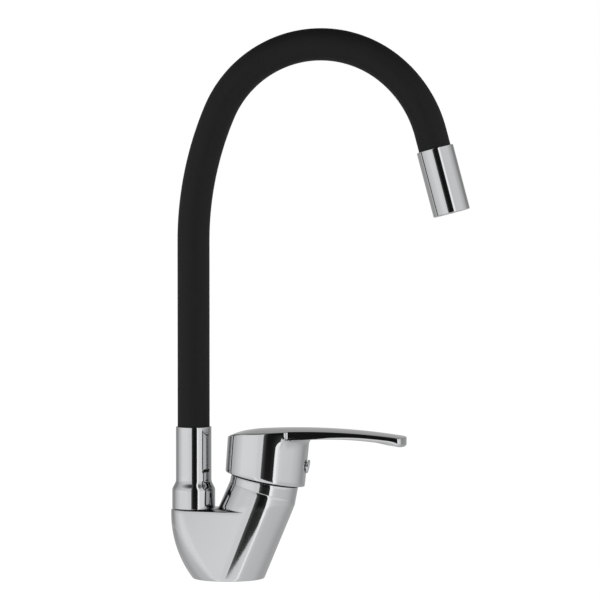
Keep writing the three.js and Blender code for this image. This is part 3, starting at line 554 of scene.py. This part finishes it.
def neck_ring(radius, height):
    """A circle round the neck's axis, at a height along it from the pivot."""
    return [to_neck @ place for place in level_ring(radius, height, neck_turns)]


neck_foot = [meet_mitre(place, neck_way) for place in neck_ring(neck_radius, 0)]
body_rings.append([p + mitre_rise * neck_way for p in neck_foot])
body_rings.append([p + mitre_support * neck_way for p in neck_foot])
neck_rim = neck_ring(neck_radius, -rim_drop - neck_edge)
body_rings += rings_between(body_rings[-1], neck_rim, neck_steps) + [neck_rim]
for inward, down in ((0.07, 0.25), (0.25, 0.07), (neck_edge, 0)):
    body_rings.append(neck_ring(neck_radius - inward, -rim_drop - down))
for radius, depth in (
    (nut_seat_radius, rim_drop), (nut_seat_radius, nut_seat_depth),
    (chamber_radius, nut_seat_depth), (chamber_radius, chamber_depth), (0, chamber_depth),
):
    body_rings.append(neck_ring(radius, -depth))

body = finish_mesh(grow_rings(body_rings), "chrome_mixer_body", chrome)
cut_with(body, [
    round_cutter(spigot_seat_radius, deep_cut, (column_x, 0, deck_height - spigot_seat_depth)),
    round_cutter(stud_hole_radius, stud_cut, (stud_hole_x, 0, stud_hole_top - stud_cut), sides=32),
] + [
    round_cutter(inlet_radius, deep_cut, (inlet_x, y, inlet_top - deep_cut), sides=32)
    for y in (-inlet_y, inlet_y)
])
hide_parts("mixer_body")
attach(body, "mixer")


# Swivel socket. A turned brass sleeve that stands on the column and turns on the spigot: a wide
# ring at the foot, a hollow-and-round sweep, and a slim sleeve that the hose enters. Chrome plated.
def rounded(points, steps=4, support=0.12):
    """A closed profile of (radius, height, corner radius), with its corners rounded and a close
    pair of points at the ends of each arc, which keeps the reflections of flat faces flat."""
    made = []
    count = len(points)
    for i, (x, z, corner) in enumerate(points):
        here = Vector((x, z))
        if not corner:
            made.append(here)
            continue
        back = (Vector(points[i - 1][:2]) - here).normalized()
        ahead = (Vector(points[(i + 1) % count][:2]) - here).normalized()
        half = back.angle(ahead) / 2
        reach = corner / math.tan(half)
        centre = here + (back + ahead).normalized() * corner / math.sin(half)
        first, last = here + back * reach, here + ahead * reach
        made.append(first + back * support)
        sweep = (first - centre).angle_signed(last - centre)
        for step in range(steps + 1):
            spoke = (first - centre).copy()
            spoke.rotate(Matrix.Rotation(-sweep * step / steps, 2))
            made.append(centre + spoke)
        made.append(last + ahead * support)
    return made


def turn_profile(name, profile, matrix, material, sides=96):
    """Spins a closed profile of (radius, height) in millimetres about the matrix's Z axis."""
    bpy.ops.object.select_all(action="DESELECT")
    bpy.ops.mesh.primitive_circle_add(vertices=len(profile))
    piece = bpy.context.object
    for vertex, (radius, height) in zip(piece.data.vertices, profile):
        vertex.co = Vector((radius, 0, height)) * MM
    bpy.ops.object.mode_set(mode="EDIT")
    bpy.ops.mesh.select_all(action="SELECT")
    bpy.ops.mesh.spin(steps=sides, angle=2 * math.pi, center=(0, 0, 0), axis=(0, 0, 1))
    bpy.ops.object.mode_set(mode="OBJECT")
    finish_mesh(piece, name, material)
    move_to(piece, matrix)
    return piece


socket_ring, socket_sleeve = 15.15, 12.5
socket_foot, flare_bottom, flare_top, socket_top = 48.8, 61.7, 68.9, 106.4
flare_steps = 16
skirt_bore, skirt_top = 13.3, 53.5
seal_bore, seal_top = 10.3, 83.1
spigot_bore, hose_bore, hose_seat = 8.3, 11.6, 95.1
retainer_radius, retainer_height, retainer_y, retainer_cut = 2.3, 57.3, 18, 20
flare = [Vector((mix(socket_ring, socket_sleeve, ease(step / flare_steps)),
                 mix(flare_bottom, flare_top, step / flare_steps)))
         for step in range(flare_steps + 1)]
socket_profile = rounded([
    (skirt_bore, socket_foot, 0), (socket_ring, socket_foot, 0.4),
    (socket_ring, flare_bottom - 1, 0),
]) + flare + rounded([
    (socket_sleeve, flare_top + 4, 0), (socket_sleeve, socket_top, 0.45),
    (hose_bore, socket_top, 0.15), (hose_bore, hose_seat, 0), (spigot_bore, hose_seat, 0),
    (spigot_bore, seal_top, 0), (seal_bore, seal_top, 0), (seal_bore, skirt_top, 0),
    (skirt_bore, skirt_top, 0),
])
at_column = Matrix.Translation(Vector((column_x, 0, 0)) * MM)
socket = turn_profile("chrome_swivel_socket", socket_profile, at_column, chrome)
behind = (Matrix.Translation(Vector((column_x, retainer_y, retainer_height)) * MM)
          @ Matrix.Rotation(math.pi / 2, 4, "X"))
cut_with(socket, [
    round_cutter(retainer_radius, retainer_cut, (0, 0, -retainer_cut / 2), behind, sides=32),
])
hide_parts("swivel_socket")
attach(socket, "spout_base")

# Lever handle. One zinc casting, chrome plated: a hollow cap over the cartridge, crowned on top,
# that runs out into a flat blade. Blade and cap share the crown, and a hollow fillet joins them
# below. Its places are measured from the pivot.
cap_lean, cap_radius, cap_top_radius, cap_top_edge = math.radians(5), 28.2, 28.8, 1.2
cap_wall, cap_roof = 1.8, 26
boss_radius, boss_bottom, stem_bore, stem_bore_top = 8, 9, 5.4, 24.4
skirt_slope, skirt_edge = math.tan(neck_lean), 0.45
crown_height, crown_x, crown_radius, crown_side_radius = 35.7, 24.9, 480, 230
crown_back_x, crown_back_radius = 3.5, 72
shoulder_turn, shoulder_drop = math.radians(-79), 11
blade_root_x, blade_root_half, blade_root_depth = 28.2, 23.2, 5.6
blade_middle_depth, thinning_run = 4.3, 45
blade_lip_depth, lip_start, lip_run = 2.6, 90, 12
blade_reach, blade_tip_half, blade_corner, blade_end_radius = 99.6, 15, 3.5, 38
blade_top_edge, blade_under_edge, blade_fillet = 0.6, 1.9, 4.5
plan_fillet = 10
handle_smooth_angle = math.radians(50)


def crown(x, y):
    """Height of the handle's top over a place: a long arc along it and a shorter one across it,
    which falls away faster behind the middle of the cap."""
    along = crown_height - crown_radius + math.sqrt(crown_radius ** 2 - (x - crown_x) ** 2)
    behind = max(0, -crown_back_x - x) ** 2 / (2 * crown_back_radius)
    return along - y ** 2 / (2 * crown_side_radius) - behind * max(0, 1 - (y / cap_top_radius) ** 2)


def wall_radius(rise):
    return mix(cap_radius, cap_top_radius, rise / crown_height)


def cap_point(turn, rise, radius=None):
    """A point on the cap's slightly flared wall, at a turn and a rise along its leaning axis."""
    if radius is None:
        radius = wall_radius(rise)
    across = radius * math.cos(turn)
    return Vector((math.cos(cap_lean) * across + math.sin(cap_lean) * rise, radius * math.sin(turn),
                   math.cos(cap_lean) * rise - math.sin(cap_lean) * across))


def cap_rise(turn, height_of):
    """The rise at which the cap's wall is as high as height_of says for that place."""
    rise = crown_height
    for _ in range(12):
        place = cap_point(turn, rise)
        rise += height_of(place) - place.z
    return rise


def shoulder(turn):
    """How far the rim stands out of the cap's round where it runs straight on to the blade."""
    return cap_top_radius * (1 / math.cos(max(0, turn - shoulder_turn)) - 1)


def shouldered(turn, rise, rim_rise):
    """A point on the cap's wall, with the shoulder dying out below the rim."""
    fade = 1 - ease((rim_rise - rise) / shoulder_drop)
    return cap_point(turn, rise, wall_radius(rise) + shoulder(turn) * fade)


blade_run_x = blade_reach - blade_corner - blade_root_x


def blade_half(x):
    return mix(blade_root_half, blade_tip_half, (x - blade_root_x) / blade_run_x)


def blade_depth(x):
    """Thickness of the blade at its edge: it thins from the cap and ends in a thicker lip."""
    thinning = ease((x - blade_root_x) / thinning_run)
    return (mix(blade_root_depth, blade_middle_depth, thinning)
            + blade_lip_depth * ease((x - lip_start) / lip_run))


def under_height(x):
    """Height of the blade's underside, taken level across it."""
    return crown(x, blade_half(x)) - blade_depth(x)


# Half the handle's outline from above: round the cap from its back, through the hollow beside it,
# along the blade's side, round its corner and over its curved end.
cap_middle = math.sin(cap_lean) * crown_height
cap_centre = Vector((cap_middle, 0))
blade_slope = math.atan((blade_root_half - blade_tip_half) / blade_run_x)
side_out = Vector((math.sin(blade_slope), -math.cos(blade_slope)))
side_way = Vector((math.cos(blade_slope), math.sin(blade_slope)))
side_root = Vector((blade_root_x, -blade_root_half))
side_start = side_root + plan_fillet * side_out
fillet_centre = side_start + side_way * narrow(-40.0, 60.0, lambda run: (
    (side_start + side_way * run - cap_centre).length <= cap_top_radius + plan_fillet
), halvings=60)
join_turn = math.atan2(fillet_centre.y, fillet_centre.x - cap_middle)
end_centre = Vector((blade_reach - blade_end_radius, 0))
inside = side_root - blade_corner * side_out - end_centre
near = inside.dot(side_way)
run_in = math.sqrt(near ** 2 - inside.dot(inside) + (blade_end_radius - blade_corner) ** 2) - near
corner_centre = end_centre + inside + side_way * run_in
corner_turn = math.atan2(side_out.y, side_out.x)
end_turn = math.atan2(corner_centre.y, corner_centre.x - end_centre.x)

half_plan = []
cap_steps, join_steps, side_steps, corner_steps, end_steps = 64, 10, 30, 8, 8
for i in range(cap_steps):
    turn = mix(-math.pi, join_turn, i / cap_steps)
    half_plan.append(("cap", turn, level_way(turn).xy))
for i in range(join_steps):
    share_in = i / join_steps
    out = level_way(join_turn).xy.lerp(side_out, share_in).normalized()
    stand_out = shoulder(join_turn) * (1 - ease(share_in * 1.5))
    half_plan.append(("blade", fillet_centre - (plan_fillet - stand_out) * out, out))
line_start = fillet_centre - plan_fillet * side_out
line_end = corner_centre + blade_corner * side_out
for i in range(side_steps):
    half_plan.append(("blade", line_start.lerp(line_end, i / side_steps), side_out))
for i in range(corner_steps):
    out = level_way(mix(corner_turn, end_turn, i / corner_steps)).xy
    half_plan.append(("blade", corner_centre + blade_corner * out, out))
for i in range(end_steps + 1):
    out = level_way(mix(end_turn, 0, i / end_steps)).xy
    half_plan.append(("blade", end_centre + blade_end_radius * out, out))

blade_outline = half_plan[cap_steps:]
blade_run = sum((b[1] - a[1]).length for a, b in zip(blade_outline, blade_outline[1:]))
top_shares = [0, 0.2, 0.4, 0.6, 0.8, 0.93, 1]
side_rows, under_rows, edge_rows, fillet_rows, wall_rows, skirt_rows = 4, 8, 5, 6, 9, 3
side_share = 0.62
spine_end, rim_blend = 10, 0.9
# Close to the cap the blade has less room, and its fillet and lower edge take these shares of it.
fillet_share, under_share, least_skew = 0.55, 0.4, 0.35


def cap_side(turn, top_height, rim):
    """The places down the cap's wall behind the blade, the rise of the last one, and the rim's."""
    start = cap_rise(turn, lambda p: top_height - rim)
    end = start - (blade_root_depth - rim) - blade_fillet
    drops = [side_share * i / side_rows for i in range(1, side_rows + 1)]
    count = edge_rows + under_rows + fillet_rows
    drops += [mix(side_share, 1, i / count) for i in range(1, count + 1)]
    return [shouldered(turn, mix(start, end, drop), start) for drop in drops], end, start


def blade_side(turn, plan, out, top_height):
    """The places down the blade's side, in under it and down the fillet to the cap's wall, the
    rise of the last one, and the rise from which the cap's shoulder has died out."""
    places = []
    wall = cap_point(turn, cap_rise(turn, lambda p: under_height(p.x)))
    base = wall.xy
    radial = level_way(turn).xy
    gap_out = (plan - base).length
    fillet = min(blade_fillet, fillet_share * gap_out)
    under = min(blade_under_edge, under_share * gap_out)
    lowest = top_height - blade_depth(plan.x)
    for i in range(1, side_rows + 1):
        height = mix(top_height - blade_top_edge, lowest + under, i / side_rows)
        places.append(Vector((plan.x, plan.y, height)))
    inward = base + fillet * radial - plan
    inward = inward.normalized() if inward.length > 1e-6 else -radial
    skew = max(least_skew, -inward.dot(out))
    for angle in quarter(edge_rows):
        place = plan + inward * under * (1 - math.cos(angle)) / skew
        places.append(Vector((place.x, place.y, lowest + under * (1 - math.sin(angle)))))
    start_under = plan + inward * under / skew
    end_under = base + fillet * radial
    end_height = under_height(end_under.x)
    for i in range(1, under_rows + 1):
        share_in = i / under_rows
        place = start_under.lerp(end_under, share_in)
        height = mix(lowest, end_height, share_in)
        height = mix(height, under_height(place.x), 4 * i / under_rows * (1 - share_in))
        places.append(Vector((place.x, place.y, height)))
    for angle in quarter(fillet_rows):
        height = end_height - fillet * (1 - math.cos(angle))
        spot = cap_point(turn, cap_rise(turn, lambda p: height))
        push = fillet * (1 - math.sin(angle))
        places.append(Vector((spot.x + push * radial.x, spot.y + push * radial.y, height)))
    end = cap_rise(turn, lambda p: end_height - fillet)
    return places, end, end + shoulder_drop


def handle_column(kind, where, out, run):
    """All the places down one line of the handle, from the middle of its top to inside its cap."""
    if kind == "cap":
        turn = where
        top = cap_point(turn, cap_rise(turn, lambda p: crown(p.x, p.y)))
        plan = top.xy + shoulder(turn) * level_way(turn).xy
        spine = cap_centre
        rim = mix(blade_top_edge, cap_top_edge, ease((join_turn - turn) / rim_blend))
    else:
        turn = join_turn * (1 - run)
        plan = where
        spine = Vector((mix(cap_middle, blade_reach - spine_end, ease(run * 1.05)), 0))
        rim = blade_top_edge
    edge = plan - rim * out
    column = []
    for share_out in top_shares:
        place = spine.lerp(edge, share_out)
        column.append(Vector((place.x, place.y, crown(place.x, place.y))))
    top_height = crown(edge.x, edge.y)
    for angle in quarter(edge_rows):
        place = edge + rim * math.sin(angle) * out
        column.append(Vector((place.x, place.y, top_height - rim * (1 - math.cos(angle)))))
    if kind == "cap":
        places, end, rim_rise = cap_side(turn, top_height, rim)
    else:
        places, end, rim_rise = blade_side(turn, plan, out, top_height)
    bottom = cap_rise(turn, lambda p: -p.x * skirt_slope)
    column += places + [shouldered(turn, mix(end, bottom + skirt_edge, i / wall_rows), rim_rise)
                        for i in range(1, wall_rows + 1)]
    for angle in quarter(skirt_rows):
        rise = bottom + skirt_edge * (1 - math.sin(angle))
        column.append(cap_point(turn, rise, wall_radius(rise) - skirt_edge * (1 - math.cos(angle))))
    inner = cap_radius - cap_wall
    for rise, radius in (
        (bottom, inner), (cap_roof, inner), (cap_roof, boss_radius), (boss_bottom, boss_radius),
        (boss_bottom, stem_bore), (stem_bore_top, stem_bore), (stem_bore_top, 0),
    ):
        column.append(cap_point(turn, rise, radius))
    return column


half_columns = []
run_length = 0
for i, (kind, where, out) in enumerate(half_plan):
    if i > cap_steps:
        run_length += (where - half_plan[i - 1][1]).length
    half_columns.append(handle_column(kind, where, out, run_length / blade_run))
handle_columns = half_columns + [[Vector((p.x, -p.y, p.z)) for p in column]
                                 for column in reversed(half_columns[1:-1])]
handle_rings = [[place + pivot for place in ring] for ring in zip(*handle_columns)]
handle = finish_mesh(grow_rings(handle_rings), "chrome_lever_handle", chrome, handle_smooth_angle)

plug_height, plug_seat_radius, plug_seat, plug_cut = 14.3, 5, 27.2, 10
set_screw_radius, set_screw_start, set_screw_cut = 3.3, 8, 20
to_plug = (Matrix.Translation(pivot * MM) @ Matrix.Rotation(neck_lean, 4, "Y")
           @ Matrix.Translation(Vector((0, 0, plug_height)) * MM)
           @ Matrix.Rotation(math.pi / 2, 4, "Y"))
cut_with(handle, [
    round_cutter(plug_seat_radius, plug_cut, (0, 0, plug_seat), to_plug),
    round_cutter(set_screw_radius, set_screw_cut, (0, 0, set_screw_start), to_plug, sides=32),
], handle_smooth_angle)
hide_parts("lever_handle")
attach(handle, "lever")

# Screw cover. A small turned plug with a rounded rim and a short stem, chrome plated. It is
# pressed into the front of the cap and hides the set screw that clamps the handle.
plug_stem, plug_radius = 3, 4.7
stem_start, plug_back, plug_face = 24.2, 27.5, 28.7
plug = turn_profile("chrome_screw_cover", rounded([
    (0, stem_start, 0), (plug_stem, stem_start, 0.2), (plug_stem, plug_back, 0),
    (plug_radius, plug_back, 0.15), (plug_radius, plug_face, 0.35), (0, plug_face, 0),
]), to_plug, chrome, sides=64)
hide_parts("screw_cover")
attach(plug, "lever")


# Spout hose. A black silicone sheath slips over the chain of ball joints and the water hose. It is
# moulded smooth and matt. It is laid in lengths from the middle of one link to that of the next.
def silicone_rubber():
    """Black silicone rubber, moulded in a fine-grained tool: matt, with a soft low sheen and the
    faintest grain. The real grain is under 0.1 mm and is drawn near 0.5 mm to show at all."""
    material = bpy.data.materials.new("silicone_rubber_matt")
    tree = empty_tree(material)
    rest_place = add_node(tree, "ShaderNodeAttribute", {"attribute_name": "as_moulded"})
    place = rest_place.outputs["Vector"]
    cloud, colour = clouded(tree, place, {"Scale": 60, "Detail": 3}, "#171718", "#1c1c1d")
    sheen = add_node(tree, "ShaderNodeMapRange", {
        "From Min": 0.3, "From Max": 0.7, "To Min": 0.55, "To Max": 0.64,
    }, {0: cloud})
    rubber = add_node(tree, "ShaderNodeBsdfPrincipled", {
        "IOR": 1.41, "Specular IOR Level": 0.22,
    }, {
        "Base Color": colour, "Roughness": sheen.outputs[0],
        "Normal": relief(tree, place, 2000, 0.25, 0.00005),
    })
    add_node(tree, "ShaderNodeOutputMaterial", (), {0: rubber.outputs[0]})
    return material


silicone = silicone_rubber()
sheath_radius, sheath_bore = 11.3, 9.9
water_hose_radius, water_hose_bore = 3.6, 2.5
hose_start, seat_depth = 95.4, 11
route_rise = 130.6
route_radii = (230, 77.5, 85)
route_turns = [math.radians(turn) for turn in (23.1, 106, 36)]
run_out = 12
first_joint, link_pitch, link_count = 113.9, 31.9, 13


def along_piece(piece, length):
    """The place and heading at a length along one run or arc; heading turns from +Z toward +X."""
    start, heading, _, radius = piece
    if radius is None:
        return start + length * leaning_way(heading), heading
    turned = heading + length / radius
    centre = start + radius * Vector((math.cos(heading), 0, -math.sin(heading)))
    return centre - radius * Vector((math.cos(turned), 0, -math.sin(turned))), turned


# The hose's middle line as straight runs and arcs: start, heading, length and radius of each.
hose_route = []
place, heading = Vector((column_x, 0, hose_start)), 0.0
runs = [(seat_depth + route_rise, None)]
runs += [(radius * turn, radius) for radius, turn in zip(route_radii, route_turns)]
runs += [(run_out, None), (seat_depth, None)]
for length, radius in runs:
    hose_route.append((place, heading, length, radius))
    place, heading = along_piece(hose_route[-1], length)
route_length = sum(piece[2] for piece in hose_route)


def on_route(length):
    """The place and heading at a length along the hose from its lower end."""
    for piece in hose_route:
        if length <= piece[2] or piece is hose_route[-1]:
            return along_piece(piece, length)
        length -= piece[2]


joint_lengths = [first_joint - hose_start]
for _ in range(link_count):
    joint = on_route(joint_lengths[-1])[0]
    furthest = min(joint_lengths[-1] + 2 * link_pitch, route_length)
    joint_lengths.append(narrow(joint_lengths[-1], furthest, lambda length: (
        (on_route(length)[0] - joint).length < link_pitch)))

link_middles = [(a + b) / 2 for a, b in zip(joint_lengths, joint_lengths[1:])]
cuts = [0] + link_middles + [route_length]


def tube_length(name, radius, bore, start, end, material, sides, steps=10):
    """A length of tube along the hose's route, with its bore, closed at both ends."""
    rings = []
    turns = [2 * math.pi * i / sides for i in range(sides)]
    for radius_here, order in ((radius, range(steps + 1)), (bore, reversed(range(steps + 1)))):
        for step in order:
            place, heading = on_route(mix(start, end, step / steps))
            side = Vector((math.cos(heading), 0, -math.sin(heading)))
            rings.append([
                place + radius_here * (math.cos(turn) * side + math.sin(turn) * Vector((0, 1, 0)))
                for turn in turns
            ])
    rings.append(rings[0])
    piece = finish_mesh(grow_rings(rings), name, material)
    rest = piece.data.attributes.new("as_moulded", "FLOAT_VECTOR", "POINT")
    for vertex in piece.data.vertices:
        rest.data[vertex.index].vector = vertex.co
    return piece


def plastic(name, dark, light, roughness, ior):
    """A moulded plastic or rubber: slight clouding of its colour in patches of about 11 mm, and a
    tool grain that is drawn near 0.5 mm to show at all."""
    material = bpy.data.materials.new(name)
    tree = empty_tree(material)
    place = add_node(tree, "ShaderNodeTexCoord").outputs["Object"]
    _, colour = clouded(tree, place, {"Scale": 90, "Detail": 3}, dark, light)
    moulded = add_node(tree, "ShaderNodeBsdfPrincipled", {"IOR": ior, "Roughness": roughness}, {
        "Base Color": colour, "Normal": relief(tree, place, 1800, 0.2, 0.00005),
    })
    add_node(tree, "ShaderNodeOutputMaterial", (), {0: moulded.outputs[0]})
    return material


# Acetal is a hard, slippery plastic with a satin, faintly milky white when nothing tints it.
white_acetal = plastic("acetal_white", "#dededa", "#e9e9e5", 0.42, 1.48)
for number, (start, end) in enumerate(zip(cuts, cuts[1:]), 1):
    joint, heading = on_route(joint_lengths[number - 1])
    before = joint - on_route(start)[0]
    after = on_route(end)[0] - joint
    reach = min(before.length, after.length, link_pitch / 2) * leaning_way(heading)
    for name, node, radius, bore, material, slot, sides in (
        ("silicone_sheath", "hose_sheath", sheath_radius, sheath_bore, silicone, "silicone", 48),
        ("water_hose", "water_hose", water_hose_radius, water_hose_bore, white_acetal,
         "white_plastic", 16),
    ):
        tube = tube_length(f"{name}_{number:02d}", radius, bore, start, end, material, sides)
        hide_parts(node)
        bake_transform(tube)

# Outlet sleeve. A turned brass sleeve crimped on the end of the hose, with crisp edges. It takes
# the aerator from below. Chrome plated.
outlet_start, outlet_heading = on_route(route_length - seat_depth)
up_the_hose = -leaning_way(outlet_heading)
to_outlet = Matrix.Translation(outlet_start * MM) @ Matrix.Rotation(
    math.atan2(up_the_hose.x, up_the_hose.z), 4, "Y")
sleeve_length, sleeve_radius = 46.2, 13
hose_depth, aerator_depth, aerator_bore = 11.3, 35.1, 11.9
sleeve = turn_profile("chrome_outlet_sleeve", rounded([
    (aerator_bore, -sleeve_length, 0.1), (sleeve_radius, -sleeve_length, 0.5),
    (sleeve_radius, 0, 0.45), (hose_bore, 0, 0.1), (hose_bore, -hose_depth, 0),
    (spigot_bore, -hose_depth, 0), (spigot_bore, -aerator_depth, 0),
    (aerator_bore, -aerator_depth, 0),
]), to_outlet, chrome)
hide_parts("outlet_sleeve")
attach(sleeve, "outlet")

# Aerator. A chrome threaded ring in the sleeve's mouth holds a grey plastic grid that breaks the
# water into a soft stream.
ring_radius, ring_bore, ring_mouth = 11.6, 10.2, 8.8
ring_top, ring_lip = 37.2, 44.9
aerator = turn_profile("chrome_aerator_ring", rounded([
    (ring_mouth, -sleeve_length, 0.2), (ring_radius, -sleeve_length, 0.3),
    (ring_radius, -ring_top, 0), (ring_bore, -ring_top, 0), (ring_bore, -ring_lip, 0),
    (ring_mouth, -ring_lip, 0.1),
]), to_outlet, chrome, sides=72)
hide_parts("aerator_housing")
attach(aerator, "outlet")


# Inner works. Seals, spigot, cartridge, screws and the hose's chain of ball joints are hidden in
# use and stay as the model has them. Each gets the material that the real one is made of.
def metal(name, dark, light, roughness):
    """A turned metal, clouded by handling in patches of about 14 mm. Its tool marks are too fine
    to show."""
    material = bpy.data.materials.new(name)
    tree = empty_tree(material)
    place = add_node(tree, "ShaderNodeTexCoord").outputs["Object"]
    cloud, colour = clouded(tree, place, {"Scale": 70, "Detail": 4}, dark, light)
    rough = add_node(tree, "ShaderNodeMapRange", {
        "From Min": 0.3, "From Max": 0.7, "To Min": roughness * 0.8, "To Max": roughness * 1.2,
    }, {0: cloud})
    turned = add_node(tree, "ShaderNodeBsdfPrincipled", {"Metallic": 1}, {
        "Base Color": colour, "Roughness": rough.outputs[0],
    })
    add_node(tree, "ShaderNodeOutputMaterial", (), {0: turned.outputs[0]})
    return material


spine_links = [f"spine_link_{i:02d}" for i in range(1, link_count + 1)]
for finish, names in (
    # Nitrile rubber is moulded: near black, with the dull bloom that seals have.
    (plastic("nitrile_rubber", "#17171a", "#202023", 0.6, 1.52),
     ["base_seal", "cartridge_gasket", "spout_o_ring_1", "spout_o_ring_2", "aerator_washer"]),
    # Brass straight from the lathe is a warm satin yellow, and tarnishes to a dark brown.
    (metal("turned_brass", "#8d7646", "#9a8250", 0.4),
     ["spout_spigot", "lever_stem", "hose_ferrule_lower", "hose_ferrule_upper"]),
    (metal("tarnished_brass", "#2e2a22", "#3a342a", 0.55), ["cartridge_nut"]),
    # Stainless steel screws and pins are rolled and tumbled bright.
    (metal("stainless_steel", "#a9abad", "#bcbec0", 0.28),
     ["spout_retaining_screw", "pivot_pin", "handle_set_screw"]),
    # Alumina ceramic is pressed, fired and lapped: a cold white with a soft polish.
    (plastic("alumina_ceramic", "#e8e8e4", "#f2f2ee", 0.2, 1.76),
     ["fixed_ceramic_disc", "moving_ceramic_disc"]),
    # Moulded acetal, white, tinted red or tinted grey, has a satin face.
    (white_acetal, ["glide_ring", "cartridge_base", "cartridge_housing"]),
    (plastic("acetal_red", "#963427", "#a83e2f", 0.45, 1.48), ["lever_rotor"]),
    (plastic("acetal_grey", "#868a8d", "#93979a", 0.45, 1.48),
     ["disc_carrier", "aerator_insert"] + spine_links),
):
    for name in names:
        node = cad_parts[name]
        node.data.materials.clear()
        node.data.materials.append(finish)
